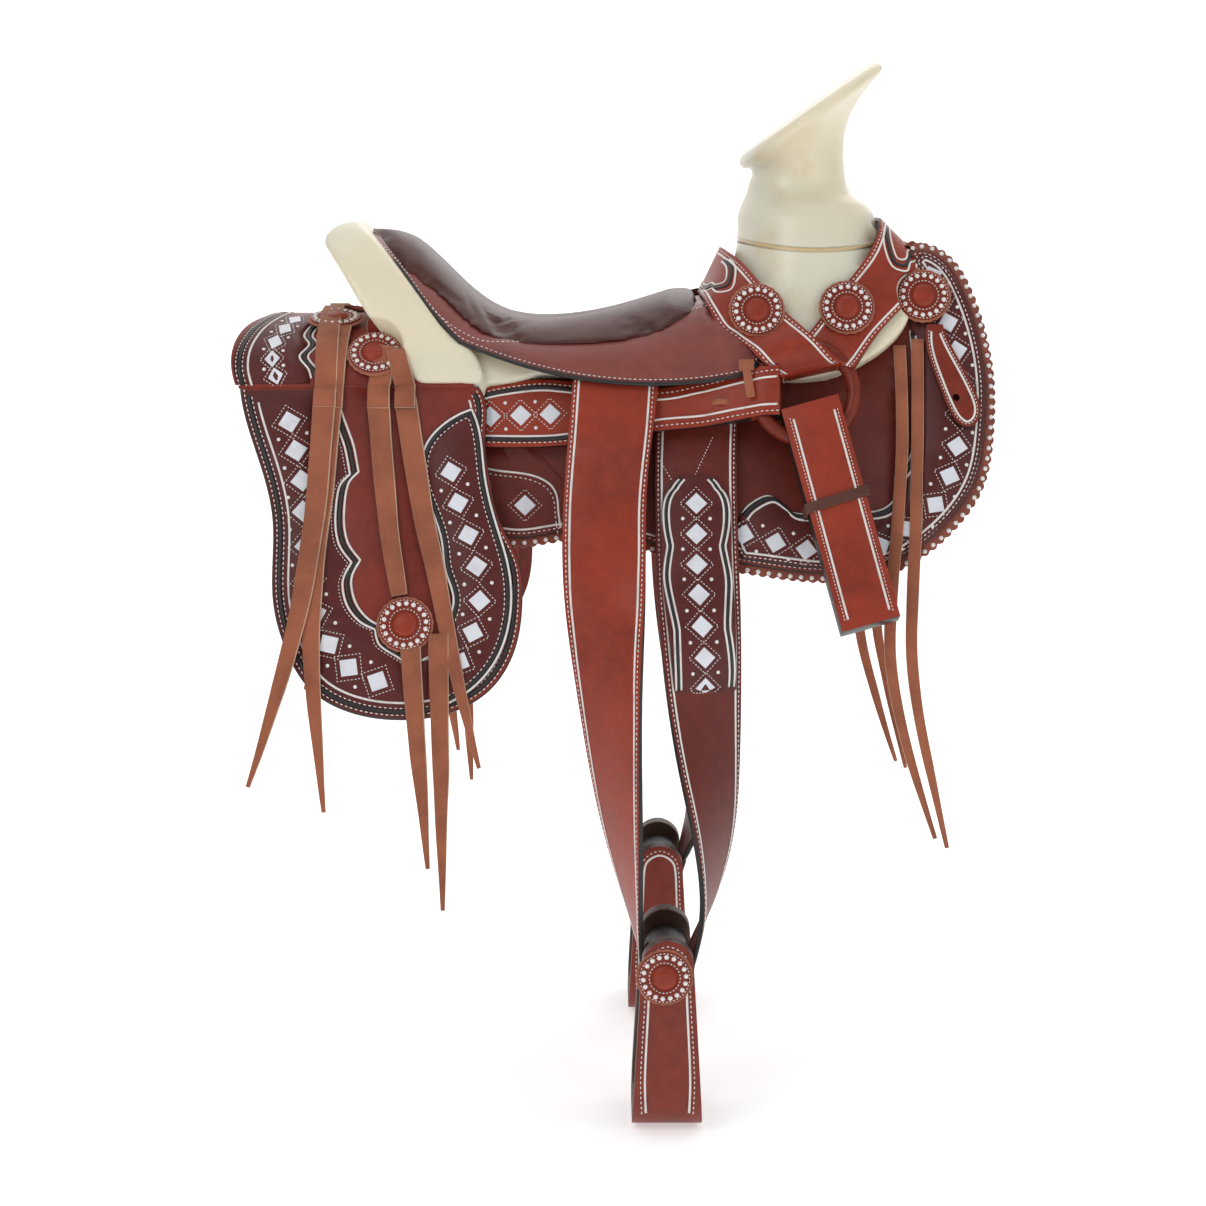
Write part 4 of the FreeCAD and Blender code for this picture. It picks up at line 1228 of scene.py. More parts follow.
class MakeSkirts(Maker):
    """Skirts with scalloped trim, fleece lining, sewn border, studs and inlaid diamonds"""
    bl_idname = "saddle.skirts"
    bl_label = "Skirts"

    def make(self):
        skirt = leather("skirt_leather", tuple(colours().skirt), gloss=0.40)
        band = leather("border_leather", tuple(colours().band), gloss=0.40)
        scallop = suede("scallop_leather", tuple(colours().scallop))
        for side_name, side in SIDES.items():
            for part, low, high, material, slot in (("skirt_lining", -25, -7, fleece(), "lining"),
                                                    ("skirt", -4, 0, skirt, "skirt_leather"),
                                                    ("skirt_border", 0, 3, band, "border_leather")):
                node = part + "_" + side_name
                outline = rim(node, 3.0, side)
                edge = fleece() if part == "skirt_lining" else black()
                piece = sheet_from(node + "_made", outline, low, high, side, "saddle", [material, edge], slot)
                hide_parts(node)
            node = "skirt_trim_" + side_name
            outline = rim(node, 1.3, side)
            trim = sheet_from(node + "_made", outline, -7, -4, side, "saddle", [scallop, scallop], "trim_leather",
                              lobe=(9.6, 2.6))
            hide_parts(node)
            self.sewing(side_name, side)

    def sewing(self, side_name, side):
        trim = rim("skirt_trim_" + side_name, 3.0, side)
        skirt = rim("skirt_" + side_name, 3.0, side)

        def free(p):
            return p.y > -15 or p.x > 285

        def rear(p):
            return p.x < 126 and p.y > -10

        def outer(p):
            return p.x > 300 or p.y > 126

        sew_edge("saddle", trim, -3.9, side, [("stud", 4.4)], free)
        sew_edge("saddle", skirt, 0.3, side, [("stitch", 3.6)], free)
        sew_edge("saddle", skirt, 0.3, side, [("white", 7.2)], rear)
        border = rim("skirt_border_" + side_name, 3.0, side)
        sew_edge("saddle", border, BORDER_TOP + 0.2, side, [("stitch", 2.8), ("white", 6.4)], outer)
        centres = [(133, 139), (163, 147), (192, 154), (228, 158), (262, 150), (290, 134), (315, 110), (329, 82),
                   (337, 53), (341, 22), (342, -10), (339, -42), (331, -70), (325, -94), (317, -117)]
        diamond_row("saddle", centres, slope_place(BORDER_TOP + 0.2, side), side)
        inner = smooth_run([Vector(p) for p in
                            [(134, 121), (142, 112), (158, 104), (170, 111), (180, 120), (197, 122), (235, 121),
                             (262, 119), (276, 111), (283, 98), (280, 86), (290, 74), (298, 55), (301, 20),
                             (300, -20), (297, -60)]], 5)
        sew_slope("black", "saddle", inner, BORDER_TOP + 0.2, side)
        sew_slope("white", "saddle", [p + Vector((2.6, 3.4)) for p in inner], BORDER_TOP + 0.2, side)
        sew_slope("white", "saddle", [p + Vector((-2.2, -3.2)) for p in inner], 0.4, side)
        corner = smooth_run([Vector(p) for p in
                             [(-118, 72), (-100, 76), (-70, 80), (-52, 88), (-44, 100), (-42, 118), (-40, 132)]], 5)
        sew_slope("white", "saddle", corner, 0.4, side)
        sew_slope("stitch", "saddle", [p + Vector((-3, 4)) for p in corner], 0.4, side)
        diamond_row("saddle", [(-74, 110)], slope_place(0.3, side), side, dots=False)



class MakeSaddlebags(Maker):
    """Saddlebags: yoke, flaps with inlaid borders, winged ends and sagging pockets"""
    bl_idname = "saddle.saddlebags"
    bl_label = "Saddlebags"

    def make(self):
        bag = leather("bag_leather", tuple(colours().bag), gloss=0.38)
        band = leather("border_leather", tuple(colours().band), gloss=0.40)
        for side_name, side in SIDES.items():
            body = "flap_" + side_name
            flap = rim("saddlebag_flap_" + side_name, 3.0, side)
            piece = sheet_from("saddlebag_flap_made_" + side_name, flap, 24, FLAP_TOP, side, body, [bag, black()],
                               "skirt_leather")
            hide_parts("saddlebag_flap_" + side_name)
            self.band_sheet(side_name, side, flap, band, body)
            wing = rim("saddlebag_border_" + side_name, 2.5, side)
            piece = sheet_from("saddlebag_wing_" + side_name, wing, FLAP_TOP, WING_TOP, side, body,
                               [band, black()], "border_leather")
            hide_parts("saddlebag_border_" + side_name)
            self.sewing(side, body, flap, wing)
            softened("saddlebag_pocket_" + side_name, "saddle", bag, bevel=0.004, slot="skirt_leather")
        self.yoke(bag, band)

    def band_sheet(self, side_name, side, flap, band, body):
        """The darker decorated leather round the flap's edge."""
        rear, closed = inset(flap, 1.0, lambda p: (p.x < -245 or p.y > 262) and p.y > 3 and p.x < -160)
        inner = self.inner_line()
        if rear[0].y > rear[-1].y:
            rear.reverse()
        outline = rear + inner[::-1]
        if signed_area(outline) < 0:
            outline.reverse()
        sheet_from("saddlebag_band_" + side_name, resampled(outline, 3.0, True), FLAP_TOP - 0.4, FLAP_TOP + 0.9,
                   side, body, [band, black()], "border_leather")

    def inner_line(self):
        cusps = [[(-258, 4), (-256, 25), (-249, 45), (-243, 62), (-238, 87)],
                 [(-238, 87), (-248, 100), (-251, 131), (-247, 155), (-235, 172)],
                 [(-235, 172), (-243, 190), (-239, 212), (-227, 228), (-212, 236)],
                 [(-212, 236), (-208, 250), (-194, 260), (-178, 268), (-162, 262)]]
        line = []
        for part in cusps:
            line += smooth_run([Vector(p) for p in part], 5)[:-1]
        return line + [Vector((-162, 262))]

    def sewing(self, side, body, flap, wing):
        rows = [("stitch", 4.0), ("black", 7.2), ("stitch", 10.4)]
        top = FLAP_TOP + 0.9
        sew_edge(body, flap, top + 0.2, side, rows + [("white", 15.6)],
                 lambda p: p.y > 3 and (p.x < -190 or p.y > 300) and p.x < -150)
        sew_edge(body, flap, FLAP_TOP + 0.3, side, rows + [("white", 14.5)], lambda p: p.y > 3 and p.x > -150)
        centres = [(-296, 36), (-289, 64), (-283, 93), (-281, 123), (-278, 156), (-275, 190), (-268, 221), (-255, 250),
                   (-236, 272), (-209, 285)]
        diamond_row(body, centres, slope_place(top, side), side, size=15.5)
        line = self.inner_line()
        sew_slope("black", body, [p + Vector((4.0, -1.0)) for p in line], FLAP_TOP + 0.3, side)
        sew_slope("white", body, line, top + 0.3, side)
        sew_slope("white", body, [p + Vector((8.0, -2.5)) for p in line], FLAP_TOP + 0.4, side)
        sew_slope("fine_stitch", body, [p + Vector((-3.6, 1.0)) for p in line], top + 0.1, side)
        sew_edge(body, wing, WING_TOP + 0.2, side, [("white", 1.8), ("black", 5.0), ("stitch", 8.0)])
        wing_row = [(-143, 85), (-136, 115), (-126, 146), (-118, 176), (-115, 209), (-121, 239), (-133, 267)]
        diamond_row(body, wing_row, slope_place(WING_TOP + 0.2, side), side)

    def yoke(self, bag, band):
        node = "saddlebag_yoke"
        softened(node, "saddle", bag, black(), bevel=0.0010, slot="skirt_leather", deep=8.0)
        for side_name, side in SIDES.items():
            for kind, depth in (("stitch", 4.0), ("black", 7.2), ("stitch", 10.4), ("white", 15.6)):
                self.over(kind, [(x + depth, turn) for x, turn in self.rear_edge], side)
            for kind, shift in (("white", 0.0), ("black", 4.0), ("white", 8.0)):
                self.over(kind, [(x + shift, turn) for x, turn in self.inner_edge], side)
            diamond_row("saddle", self.diamonds, lambda x, turn: yoke_point(x, turn, side), side, size=10.5)
            self.yoke_band(side_name, side, band)
            fold = [on_slope(x, 0.4, FLAP_TOP - 0.3, side) for x in range(-345, -117, 6)]
            strips_along("saddlebag_fold_" + side_name, [(fold, [outward(side)] * len(fold), False)], "saddle",
                         0.0026, 0.0009, bag)

    rear_edge = [(-322, 4), (-333, 22), (-343, 38), (-351, 58), (-352, 75), (-348, 90)]
    inner_edge = [(-280, 30), (-286, 44), (-280, 54), (-288, 65), (-279, 76), (-276, 84)]
    diamonds = [(-299, 22), (-306, 36), (-313, 51), (-314, 67), (-310, 82)]

    def yoke_band(self, side_name, side, band):
        """The darker leather behind the yoke's diamonds."""
        rows, columns = 22, 5

        def edge(line, turn):
            for (x1, t1), (x2, t2) in zip(line, line[1:]):
                if turn <= t2:
                    return x1 + (x2 - x1) * max(0.0, (turn - t1) / (t2 - t1))
            return line[-1][0]

        verts = []
        for lift in (-0.4, 0.24):
            for row in range(rows + 1):
                turn = 13 + 75.5 * row / rows
                low, high = edge(self.rear_edge, turn) + 1.5, edge(self.inner_edge, turn) - 1.5
                for column in range(columns + 1):
                    verts.append(yoke_point(low + (high - low) * column / columns, turn, side, lift)[0])
        wide = columns + 1
        layer = wide * (rows + 1)
        faces = []
        for row in range(rows):
            for column in range(columns):
                a = row * wide + column
                faces += [(a, a + 1, a + 1 + wide, a + wide),
                          (layer + a, layer + a + wide, layer + a + 1 + wide, layer + a + 1)]
        ring = list(range(wide)) + [r * wide + columns for r in range(1, rows + 1)]
        ring += [rows * wide + c for c in range(columns - 1, -1, -1)] + [r * wide for r in range(rows - 1, 0, -1)]
        faces += [(a, b, b + layer, a + layer) for a, b in zip(ring, ring[1:] + ring[:1])]
        name = "saddlebag_yoke_band_" + side_name
        new_piece(name, righted(mesh_from(name, verts, faces)), "saddle", [band], "border_leather")

    def over(self, kind, line, side):
        """A sewn line over the yoke, through (x, degrees from the ridge) points."""
        laid = [yoke_point(x, turn, side) for x, turn in smooth_run([Vector(p) for p in line], 8)]
        sew(kind, "saddle", [point for point, _ in laid], [out for _, out in laid])


def yoke_point(x, turn, side, lift=0.3):
    """A point on the yoke's half ellipse, and the direction out from it."""
    end = on_slope(0, 0, FLAP_TOP) / MM
    half, rise, angle = -end.y, RIDGE_Z - end.z, math.radians(turn)
    out = Vector((0, -math.sin(angle) / half, math.cos(angle) / rise)).normalized()
    place = Vector((x, -half * math.sin(angle), end.z + rise * math.cos(angle))) + out * lift
    return mirrored(place * MM, side), mirrored(out, side)


YOKE_ROSETTES = ((0.91, -216.0), (0.49, -258.0))
BEHIND = [((225, -17, 23), (168, -4, 23)), ((207, -35, 23), (151, -18, 23)), ((190, -52, 23), (139, -31, 23)),
          ((172, -72, 29), (123, -46, 29)), ((158, -88, 28), (110, -57, 29))]
BEHIND_HIGH = [((137, -72, 72), (99, -84, 38), (-0.55, -0.62, 0.55)), ((124, -40, 84), (98, -46, 42),
                                                                      (-0.82, -0.3, 0.5)),
               ((119, 0, 88), (98, 0, 44), (-0.9, 0, 0.43))]
BEFORE = [((180, -22, 23), (236, -14, 23)), ((188, -40, 23), (242, -22, 23)), ((205, -64, 24), (262, -52, 24)),
          ((230, -98, 25), (290, -82, 24))]
BEFORE_HIGH = [((255, -74, 86), (301, -82, 50), (0.45, -0.6, 0.66)), ((266, -40, 113), (305, -44, 75),
                                                                     (0.62, -0.25, 0.74)),
               ((267, 0, 115), (305, 0, 76), (0.68, 0, 0.73))]


class MakeRigging(Maker):
    """Crossed rigging straps over the fork, side straps and the covered rings they are sewn to"""
    bl_idname = "saddle.rigging"
    bl_label = "Rigging"

    def make(self):
        strap = leather("strap_leather", tuple(colours().strap), gloss=0.36)
        ring = leather("ring_leather", scaled(tuple(colours().strap), 0.62), gloss=0.32, grain=0.6)
        for node, low, high in (("rigging_strap_behind_horn", BEHIND, BEHIND_HIGH),
                                ("rigging_strap_before_horn", BEFORE, BEFORE_HIGH)):
            softened(node, "saddle", strap, black(), bevel=0.0010, slot="strap_leather", deep=30.0)
            stations = [(on_slope(*a), on_slope(*b), outward()) for a, b in low]
            stations += [(Vector(a) * MM, Vector(b) * MM, Vector(o)) for a, b, o in high]
            rails, skin = strap_rails(stations), Skin(node)
            for side in SIDES.values():
                sew_strap("saddle", rails, skin, EDGE_ROWS, side)
                self.crown(rails, skin, side)
        for side_name, side in SIDES.items():
            node = "side_strap_" + side_name
            softened(node, "saddle", strap, black(), bevel=0.0009, slot="strap_leather", deep=24.0)
            self.side_sewing(node, side)
            ring_node = "cinch_ring_" + side_name
            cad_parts[ring_node].data.materials.clear()
            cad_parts[ring_node].data.materials.append(ring)

    def crown(self, rails, skin, side):
        """The curved white and black lacing at the upper end."""
        one, two, out = rails
        count = len(one)
        shape = [(0.80, 0.10), (0.745, 0.12), (0.70, 0.24), (0.665, 0.46), (0.695, 0.70), (0.745, 0.74),
                 (0.775, 0.84), (0.83, 0.92), (0.90, 0.92)]
        for kind, grow in (("white", 0.0), ("black", 0.045), ("white", 0.09)):
            points, outs = [], []
            for along, wide in smooth_run([Vector(p) for p in shape], 5):
                along, wide = along + grow * 0.55, 0.5 + (wide - 0.5) * (1.0 - grow * 3.4)
                spot = min(along, 1.0) * (count - 1)
                k = min(int(spot), count - 2)
                a = one[k].lerp(one[k + 1], spot - k)
                b = two[k].lerp(two[k + 1], spot - k)
                o = out[k].lerp(out[k + 1], spot - k)
                hit, normal = skin.snap(mirrored(a.lerp(b, wide), side), mirrored(o, side))
                points.append(hit + normal * 0.0003)
                outs.append(normal)
            sew(kind, "saddle", points, outs)

    def side_sewing(self, node, side):
        skin = Skin(node)

        def line(points, kind):
            laid, outs = [], []
            for x, drop in resampled(smooth_run([Vector(p) for p in points], 6), 4.0):
                hit = skin.tree.ray_cast(on_slope(x, drop, 80, side), -outward(side))
                if hit[0] is not None:
                    laid.append(hit[0] + hit[1] * 0.0003)
                    outs.append(hit[1])
            if len(laid) > 3:
                sew(kind, "saddle", laid, outs)

        top = [(-118, 1), (-95, -4), (-60, -8), (-27, -5), (49, 3), (92, -3), (130, -10), (164, -14)]
        low = [(-118, 55), (-69, 56), (-31, 54), (49, 42), (92, 39), (130, 34), (164, 32)]
        for kind, depth in (("stitch", 3.2), ("white", 9.5)):
            line([(x, drop + depth) for x, drop in top], kind)
            line([(x, drop - depth) for x, drop in low], kind)
        line([(x, drop + 6.2) for x, drop in top[:5]], "black")
        line([(x, drop - 6.2) for x, drop in low[:4]], "black")

        def place(x, drop):
            hit = skin.tree.ray_cast(on_slope(x, drop, 80, side), -outward(side))
            if hit[0] is None:
                return on_slope(x, drop, 17, side), outward(side)
            return hit[0] + hit[1] * 0.0003, hit[1]

        diamond_row("saddle", [(-107, 27), (-78, 26), (-50, 25)], place, side)
        thong = [place(x, 17) for x in (103, 106, 111, 116, 119)]
        points = [p + o * lift for (p, o), lift in zip(thong, (-0.002, 0.001, 0.0022, 0.001, -0.002))]
        verts, faces = section_sweep(points, [o for _, o in thong], oval(0.0032, 0.0012, 8))
        new_piece("side_thong_" + node, righted(mesh_from("side_thong_" + node, verts, faces)), "saddle",
                  suede("suede_string", tuple(colours().suede)), "string_suede")


REAR_LEG = [(12, 40, -22), (8, 40, 40), (2, 39, 110), (1, 39, 170)]
REAR_HANG = [(2, -202, -245, 20, 39), (5, -204, -310, 38, 39), (12, -204, -400, 54, 39), (22, -202, -485, 70, 39),
             (36.9, -200, -575, 90, 39)]
FRONT_LEG = [(90, 39, 20), (88, 39, 70), (88, 39, 120), (89, 39, 170)]
FRONT_HANG = [(90, -184, -235, 4, 39), (94, -189, -310, 22, 39), (100, -194, -390, 42, 39),
              (105, -198, -470, 64, 39), (99, -200, -525, 80, 39), (83.1, -200, -575, 90, 39)]
OVERLAY = [(88, 12, 84), (88, 30, 100), (88, 33, 130), (88, 33, 168)]
OVERLAY_HANG = [(90, -184, -235, 4, 33), (94, -189, -310, 22, 32), (100, -194, -390, 42, 27), (104, -197, -440, 56, 10)]


class MakeStirrupLeathers(Maker):
    """Stirrup leathers: a plain rear leg, and a front leg with an inlaid overlay"""
    bl_idname = "saddle.stirrup_leathers"
    bl_label = "Stirrup leathers"

    def make(self):
        plain = leather("leg_leather", tuple(colours().strap), gloss=0.38)
        darker = leather("front_leg_leather", tuple(colours().skirt), gloss=0.40)
        band = leather("overlay_leather", tuple(colours().band), gloss=0.40)
        for side_name, side in SIDES.items():
            body = "leather_" + side_name
            rear, front = "stirrup_leather_rear_leg_" + side_name, "stirrup_leather_front_leg_" + side_name
            over = "leather_overlay_" + side_name
            softened(rear, body, plain, black(), bevel=0.0011, slot="stirrup_leather")
            softened(front, body, darker, black(), bevel=0.0011, slot="stirrup_leather")
            softened(over, body, band, black(), bevel=0.0006, slot="border_leather")
            rails = strap_rails(slope_stations(REAR_LEG, 35) + hanging_stations(REAR_HANG, -1, 5))
            sew_strap(body, rails, Skin(rear), EDGE_ROWS, side, reach=0.012)
            rails = strap_rails(slope_stations(FRONT_LEG, 13) + hanging_stations(FRONT_HANG, 1, 5))
            sew_strap(body, rails, Skin(front), EDGE_ROWS, side, reach=0.012)
            rails = strap_rails(slope_stations(OVERLAY, 16) + hanging_stations(OVERLAY_HANG, 1, 11))
            skin = Skin(over)
            for kind, depth in (("white", 1.6), ("black", 4.2), ("white", 6.8)):
                for sign in (1, -1):
                    points, outs = strap_line(rails, skin, depth * sign, side, low=0.05, high=0.742, reach=0.012, wave=4.5)
                    sew(kind, body, points, outs)
            self.chevron(front, body, side)
            self.diamonds(rails, skin, body, side)

    def chevron(self, node, body, side):
        skin = Skin(node)
        for shift in (0.0,):
            points, outs = [], []
            for x, drop in resampled([Vector(p) for p in [(54, 70), (76, 109), (104, 46)]], 3.0):
                hit, normal = skin.snap(on_slope(x, drop - shift, 13, side), outward(side), 0.012)
                points.append(hit + normal * 0.0003)
                outs.append(normal)
            sew("fine_stitch", body, points, outs)

    def diamonds(self, rails, skin, body, side):
        one, two, out = rails
        count = len(one)
        length = [0.0]
        for k in range(1, count):
            length.append(length[-1] + ((one[k] + two[k]) / 2 - (one[k - 1] + two[k - 1]) / 2).length / MM)

        def place(along, across):
            k = 0
            while k < count - 2 and length[k + 1] < along:
                k += 1
            share = (along - length[k]) / max(length[k + 1] - length[k], 1e-6)
            a, b = one[k].lerp(one[k + 1], share), two[k].lerp(two[k + 1], share)
            o = out[k].lerp(out[k + 1], share)
            point = (a + b) / 2 + (b - a).normalized() * across * MM
            hit, normal = skin.snap(mirrored(point, side), mirrored(o, side), 0.012)
            return hit + normal * 0.0003, normal

        step = 29.5
        rows = [(28 + step * k, 0.0) for k in range(int((length[-1] - 114) / step))]
        diamond_row(body, rows, place, side)


class MakeStirrups(Maker):
    """Stirrups: wooden frames with sewn leather covers, bolts and black rollers"""
    bl_idname = "saddle.stirrups"
    bl_label = "Stirrups"

    def make(self):
        cover = leather("stirrup_leather_cover", tuple(colours().stirrup), gloss=0.38)
        wood = dark_hard("stirrup_wood_dark", (0.060, 0.030, 0.018), 0.55)
        steel = dark_hard("bolt_steel", (0.42, 0.40, 0.38), 0.34, 1.0)
        rubber = dark_hard("roller_black", (0.018, 0.017, 0.017), 0.48)
        for side_name, side in SIDES.items():
            body = "stirrup_" + side_name
            softened("stirrup_frame_" + side_name, body, wood, bevel=0.0016, slot="stirrup_wood")
            softened("stirrup_cover_" + side_name, body, cover, black(), bevel=0.0012, slot="stirrup_leather")
            for node, material in (("stirrup_bolt_" + side_name, steel), ("stirrup_roller_" + side_name, rubber)):
                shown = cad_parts[node]
                shown.data.materials.clear()
                shown.data.materials.append(material)
            self.sewing(body, side)

    def sewing(self, body, side):
        x, y, z = BOLT
        outline = [(24, -130), (25, -95), (21.5, -30), (19.5, 8), (14, 22), (0, 28.5), (-14, 22), (-19.5, 8),
                   (-21.5, -30), (-25, -95), (-24, -130)]
        for kind, share in (("stitch", 1.0), ("white", 0.84)):
            for wall in (-1, 1):
                line = smooth_run([Vector((x + a * share, z + b * (share if b > 0 else 1.0))) for a, b in outline], 6)
                level = y + wall * 72.0
                points = [Vector((a, (level) * side + wall * side * 0.2, b)) * MM for a, b in line]
                sew(kind, body, points, Vector((0, wall * side, 0)))


class MakeLatigos(Maker):
    """Hanging latigos with their keepers"""
    bl_idname = "saddle.latigos"
    bl_label = "Latigos"

    def make(self):
        strap = leather("latigo_leather", tuple(colours().strap), gloss=0.36)
        thong = leather("keeper_leather", (0.10, 0.035, 0.022), gloss=0.4)
        lean = math.radians(14.0)
        for side_name, side in SIDES.items():
            body, node = "latigo_" + side_name, "latigo_" + side_name
            softened(node, body, strap, black(), bevel=0.0016, slot="strap_leather", deep=26.0)
            softened("latigo_keeper_" + side_name, body, thong, bevel=0.0012, slot="strap_leather")
            for wide in (-19.0, 20.5):
                line = []
                for along in range(26, 230, 6):
                    px = 191 + along * math.sin(lean) + wide * math.cos(lean)
                    line.append(Vector((px, 8 + along * math.cos(lean) - wide * math.sin(lean))))
                sew_slope("white", body, [p for p in line], 45.2, side)
                sew_slope("fine_stitch", body, [p + Vector((math.copysign(3.2, wide), 0)) for p in line], 45.2, side)


class MakeBillets(Maker):
    """Billets with a punched hole"""
    bl_idname = "saddle.billets"
    bl_label = "Billets"

    def make(self):
        strap = leather("billet_leather", scaled(tuple(colours().strap), 0.75), gloss=0.38)
        for side_name, side in SIDES.items():
            body, node = "billet_" + side_name, "billet_" + side_name
            softened(node, body, strap, black(), bevel=0.0010, slot="strap_leather")
            outline = rim(node, 2.0, side)
            sew_edge(body, outline, 11.2, side, [("fine_stitch", 2.8), ("white", 5.2)], lambda p: p.y > -60)


def rosette_mesh(place, out, parts, body):
    """A scalloped base, a plate with a stud ring and stitches, and a domed centre."""
    side = out.orthogonal().normalized()
    other = out.cross(side)

    def ring(radius, height, count, lobes=0):
        made = []
        for k in range(count):
            turn = 2 * math.pi * k / count
            reach = radius + (0.9 * (abs(math.sin(turn * lobes / 2)) - 0.6) if lobes else 0)
            made.append(place + (side * math.cos(turn) + other * math.sin(turn)) * reach * MM + out * height * MM)
        return made

    count = 96
    levels = [(26.2, 0.0, 22), (26.6, 1.0, 22), (26.0, 2.0, 22), (24.0, 2.1, 0), (24.4, 2.7, 0), (23.8, 3.9, 0),
              (12.6, 4.1, 0), (11.6, 3.7, 0), (11.2, 4.6, 0), (9.6, 6.0, 0), (6.5, 6.9, 0), (3.0, 7.25, 0)]
    verts, faces, marks = [], [], []
    for level in levels:
        verts += ring(level[0], level[1], count, level[2])
    for index in range(len(levels) - 1):
        for k in range(count):
            n = (k + 1) % count
            faces.append((index * count + k, index * count + n, (index + 1) * count + n, (index + 1) * count + k))
            marks.append(0 if index < 3 else (2 if index > 6 else 1))
    last = (len(levels) - 1) * count
    verts.append(place + out * 7.3 * MM)
    for k in range(count):
        faces.append((last + k, last + (k + 1) % count, len(verts) - 1))
        marks.append(2)
    faces.append(tuple(range(count))[::-1])
    marks.append(0)
    parts.append((verts, faces, marks))
    sew("rosette_stud", body, ring(19.8, 4.2, 72), out, True)
    sew("fine_stitch", body, ring(14.4, 4.2, 48), out, True)
    sew("fine_stitch", body, ring(23.0, 4.0, 72), out, True)


class MakeRosettes(Maker):
    """Leather rosettes with scalloped bases, stud rings and domed centres"""
    bl_idname = "saddle.rosettes"
    bl_label = "Rosettes"

    def make(self):
        scallop = suede("rosette_scallop", (0.40, 0.13, 0.075))
        plate = leather("rosette_plate", scaled(tuple(colours().strap), 0.72), gloss=0.4)
        dome = leather("rosette_dome", tuple(colours().strap), gloss=0.34, grain=0.7)
        materials = [scallop, plate, dome]
        fixed = []
        for side_name, side in SIDES.items():
            places = [(on_slope(146, -72, 34.5, side), outward(side)), (on_slope(232, -76, 30.5, side), outward(side)),
                      (on_slope(307, -94, 10, side), outward(side))]
            places += [yoke_point(x, math.degrees(math.asin(share)), side, 4.0) for share, x in YOKE_ROSETTES]
            for place, out in places:
                rosette_mesh(place, out, fixed, "saddle")
            one = []
            rosette_mesh(on_slope(-184, 232, 30.4, side), outward(side), one, "flap_" + side_name)
            self.piece("rosette_flap_made_" + side_name, one, "flap_" + side_name, materials, "rosette_flap_" + side_name)
            one = []
            spot = Vector(((BOLT[0] - 3) * MM, (BOLT[1] - 72.0) * MM * side, BOLT[2] * MM))
            rosette_mesh(spot, Vector((0, -side, 0)), one, "stirrup_" + side_name)
            self.piece("rosette_stirrup_made_" + side_name, one, "stirrup_" + side_name, materials,
                       "rosette_stirrup_" + side_name)
        self.piece("rosettes_made", fixed, "saddle", materials, "rosettes")
        self.knots()

    def piece(self, name, parts, body, materials, node):
        verts, faces = joined([(v, f) for v, f, _ in parts])
        marks = [mark for _, _, some in parts for mark in some]
        piece = new_piece(name, righted(mesh_from(name, verts, faces, marks)), body, materials, "strap_leather",
                          smooth=False)
        piece.data.shade_smooth()
        piece.data.set_sharp_from_angle(angle=math.radians(48))
        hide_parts(node)

    def knots(self):
        """String tops that cross the yoke to their rosettes, and the thongs that tie the seat down."""
        skins = (suede("suede_string", tuple(colours().suede)), suede("suede_edge", (0.62, 0.40, 0.27)))
        tops = [(-262, -262, 12, 22, 8.5), (-256, -250, 26, 22, 5.0), (-212, -204, 62, 22, 9.5),
                (-187, -196, 66, 20, 12.5)]
        for side_name, side in SIDES.items():
            for index, (low_x, high_x, high_turn, width, lift) in enumerate(tops):
                laid = []
                for step in range(13):
                    share = step / 12
                    turn = high_turn + (90 - high_turn) * share
                    laid.append(yoke_point(high_x + (low_x - high_x) * share, turn, side,
                                           lift + (4.5 - lift) * share * share))
                out = STRING_OUT + (6.4 if index == 0 else 2.6)
                laid += [(on_slope(low_x, drop, out, side), outward(side)) for drop in (9.0, 24.0)]
                mesh = string_mesh("string_top", [p for p, _ in laid], [o for _, o in laid],
                                   [width - 2, width, width], STRING_THICK, index)
                new_piece("string_top_%d_%s" % (index + 1, side_name), mesh, "saddle", skins, "string_suede")
        softened("seat_thongs", "saddle", skins[0], bevel=0.0010, slot="string_suede")


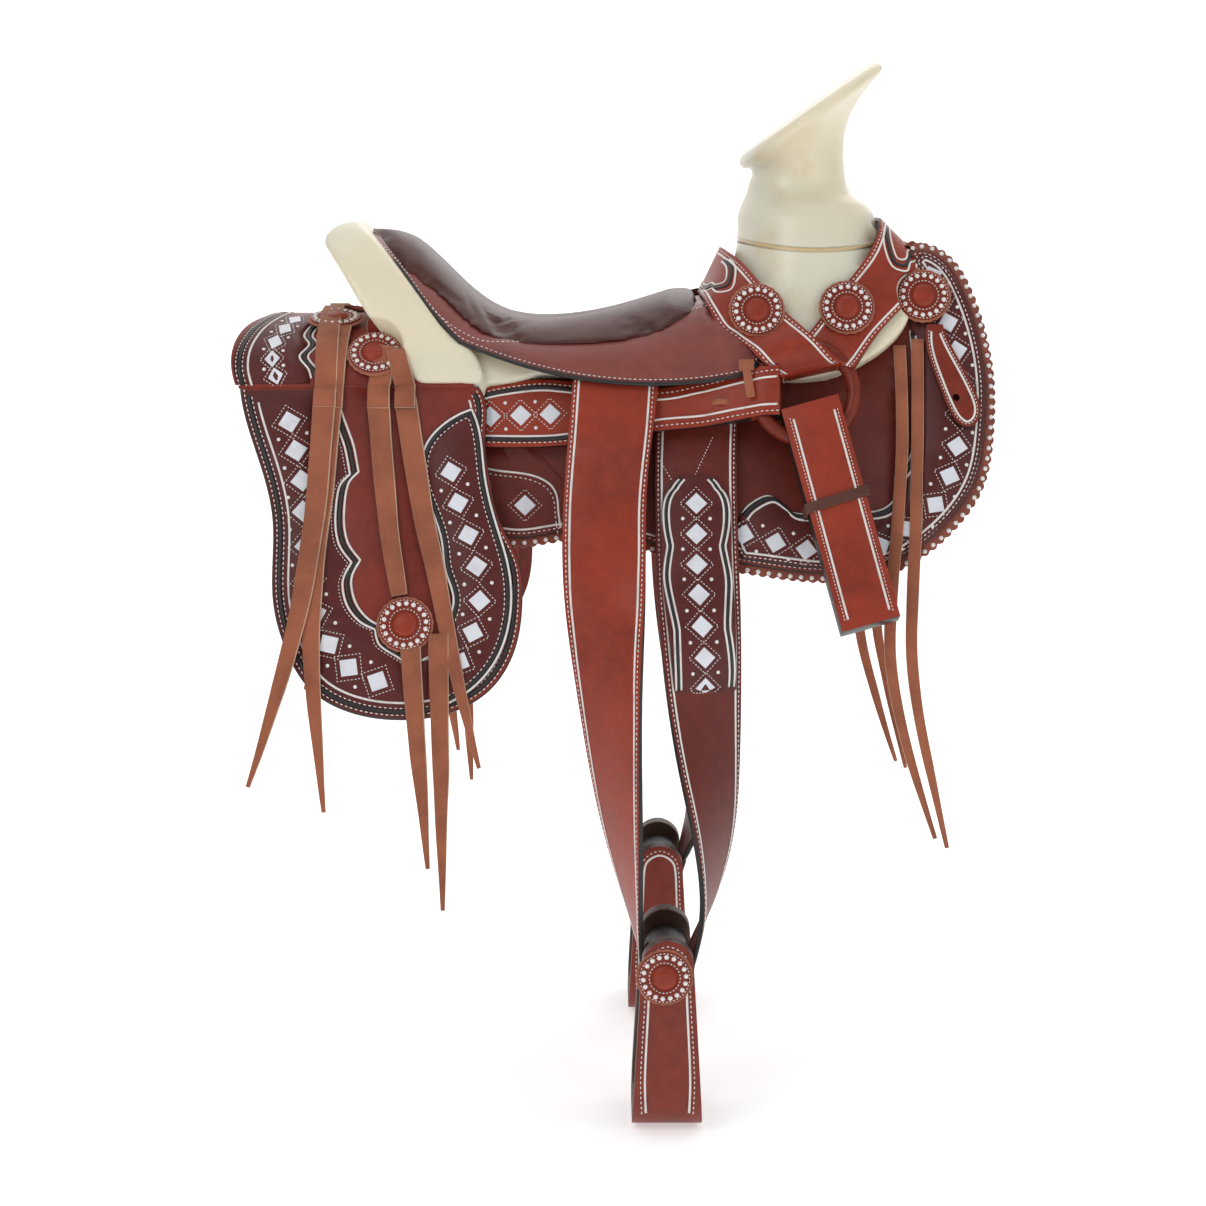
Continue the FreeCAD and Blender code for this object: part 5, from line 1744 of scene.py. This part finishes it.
class LaySewing(Maker):
    """Every stitch, lacing line, channel, stud and inlay"""
    bl_idname = "saddle.sewing"
    bl_label = "Sewing and inlays"

    def make(self):
        size = sizes()
        beads = {"stitch": (size.stitch_pitch, size.stitch_length, size.thread, size.thread * 0.7, white_thread()),
                 "fine_stitch": (0.0034, 0.0022, 0.0010, 0.0007, white_thread()),
                 "stud": (size.stud_pitch, size.stud, size.stud, size.stud * 0.55, stud_white()),
                 "rosette_stud": (2 * math.pi * 0.0198 / 18, size.stud, size.stud, size.stud * 0.6, stud_white())}
        strips = {"white": (size.line_width / 2, 0.0006, white_thread()),
                  "black": (size.groove_width / 2, 0.0005, black()),
                  "hem": (0.0021, 0.0021, black())}
        for (kind, body), lines in SEWING.items():
            name = kind + "_on_" + body
            if kind in beads:
                beads_along(name, lines, body, *beads[kind])
            else:
                strips_along(name, lines, body, *strips[kind])
        for body, plates in INLAYS.items():
            parts = [self.plate(corners) for corners in plates]
            verts, faces = joined(parts)
            new_piece("inlays_on_" + body, righted(mesh_from("inlays", verts, faces)), body, inlay_white(),
                      smooth=False)
        for body, dots in DOTS.items():
            verts, faces = joined([button(point, out, 0.0019, 0.0010) for point, out in dots])
            new_piece("dots_on_" + body, righted(mesh_from("dots", verts, faces)), body, stud_white())

    def plate(self, corners):
        centre = sum((point for point, _ in corners), Vector()) / 4
        low = [point - out * 0.0005 for point, out in corners]
        high = [point + out * 0.0003 for point, out in corners]
        top = [point.lerp(centre, 0.06) + out * 0.0006 for point, out in corners]
        faces = [(0, 1, 2, 3)[::-1], (8, 9, 10, 11)]
        for k in range(4):
            n = (k + 1) % 4
            faces += [(k, n, n + 4, k + 4), (k + 4, n + 4, n + 8, k + 8)]
        return low + high + top, faces


ORDER = [MakeStage, MakeStrings, MakeTree, MakeSeat, MakeSkirts, MakeSaddlebags, MakeRigging, MakeStirrupLeathers,
         MakeStirrups, MakeLatigos, MakeBillets, MakeRosettes, LaySewing]


class SaddlePanel(bpy.types.Panel):
    """Sizes, colours and pieces of the saddle"""
    bl_idname = "VIEW3D_PT_saddle"
    bl_label = "Charro saddle"
    bl_space_type = "VIEW_3D"
    bl_region_type = "UI"
    bl_category = "Saddle"

    def draw(self, context):
        for group in (context.scene.saddle_sizes, context.scene.saddle_colours):
            box = self.layout.box()
            for key in group.__annotations__:
                box.prop(group, key)
        for maker in ORDER:
            self.layout.operator(maker.bl_idname)


CLASSES = [SaddleSizes, SaddleColours, *ORDER, SaddlePanel]


def register():
    for item in CLASSES:
        bpy.utils.register_class(item)
    bpy.types.Scene.saddle_sizes = bpy.props.PointerProperty(type=SaddleSizes)
    bpy.types.Scene.saddle_colours = bpy.props.PointerProperty(type=SaddleColours)


def unregister():
    del bpy.types.Scene.saddle_colours
    del bpy.types.Scene.saddle_sizes
    for item in reversed(CLASSES):
        bpy.utils.unregister_class(item)


def main():
    register()
    for maker in ORDER:
        getattr(bpy.ops.saddle, maker.bl_idname.split(".")[1])()


if __name__ == "__main__":
    main()
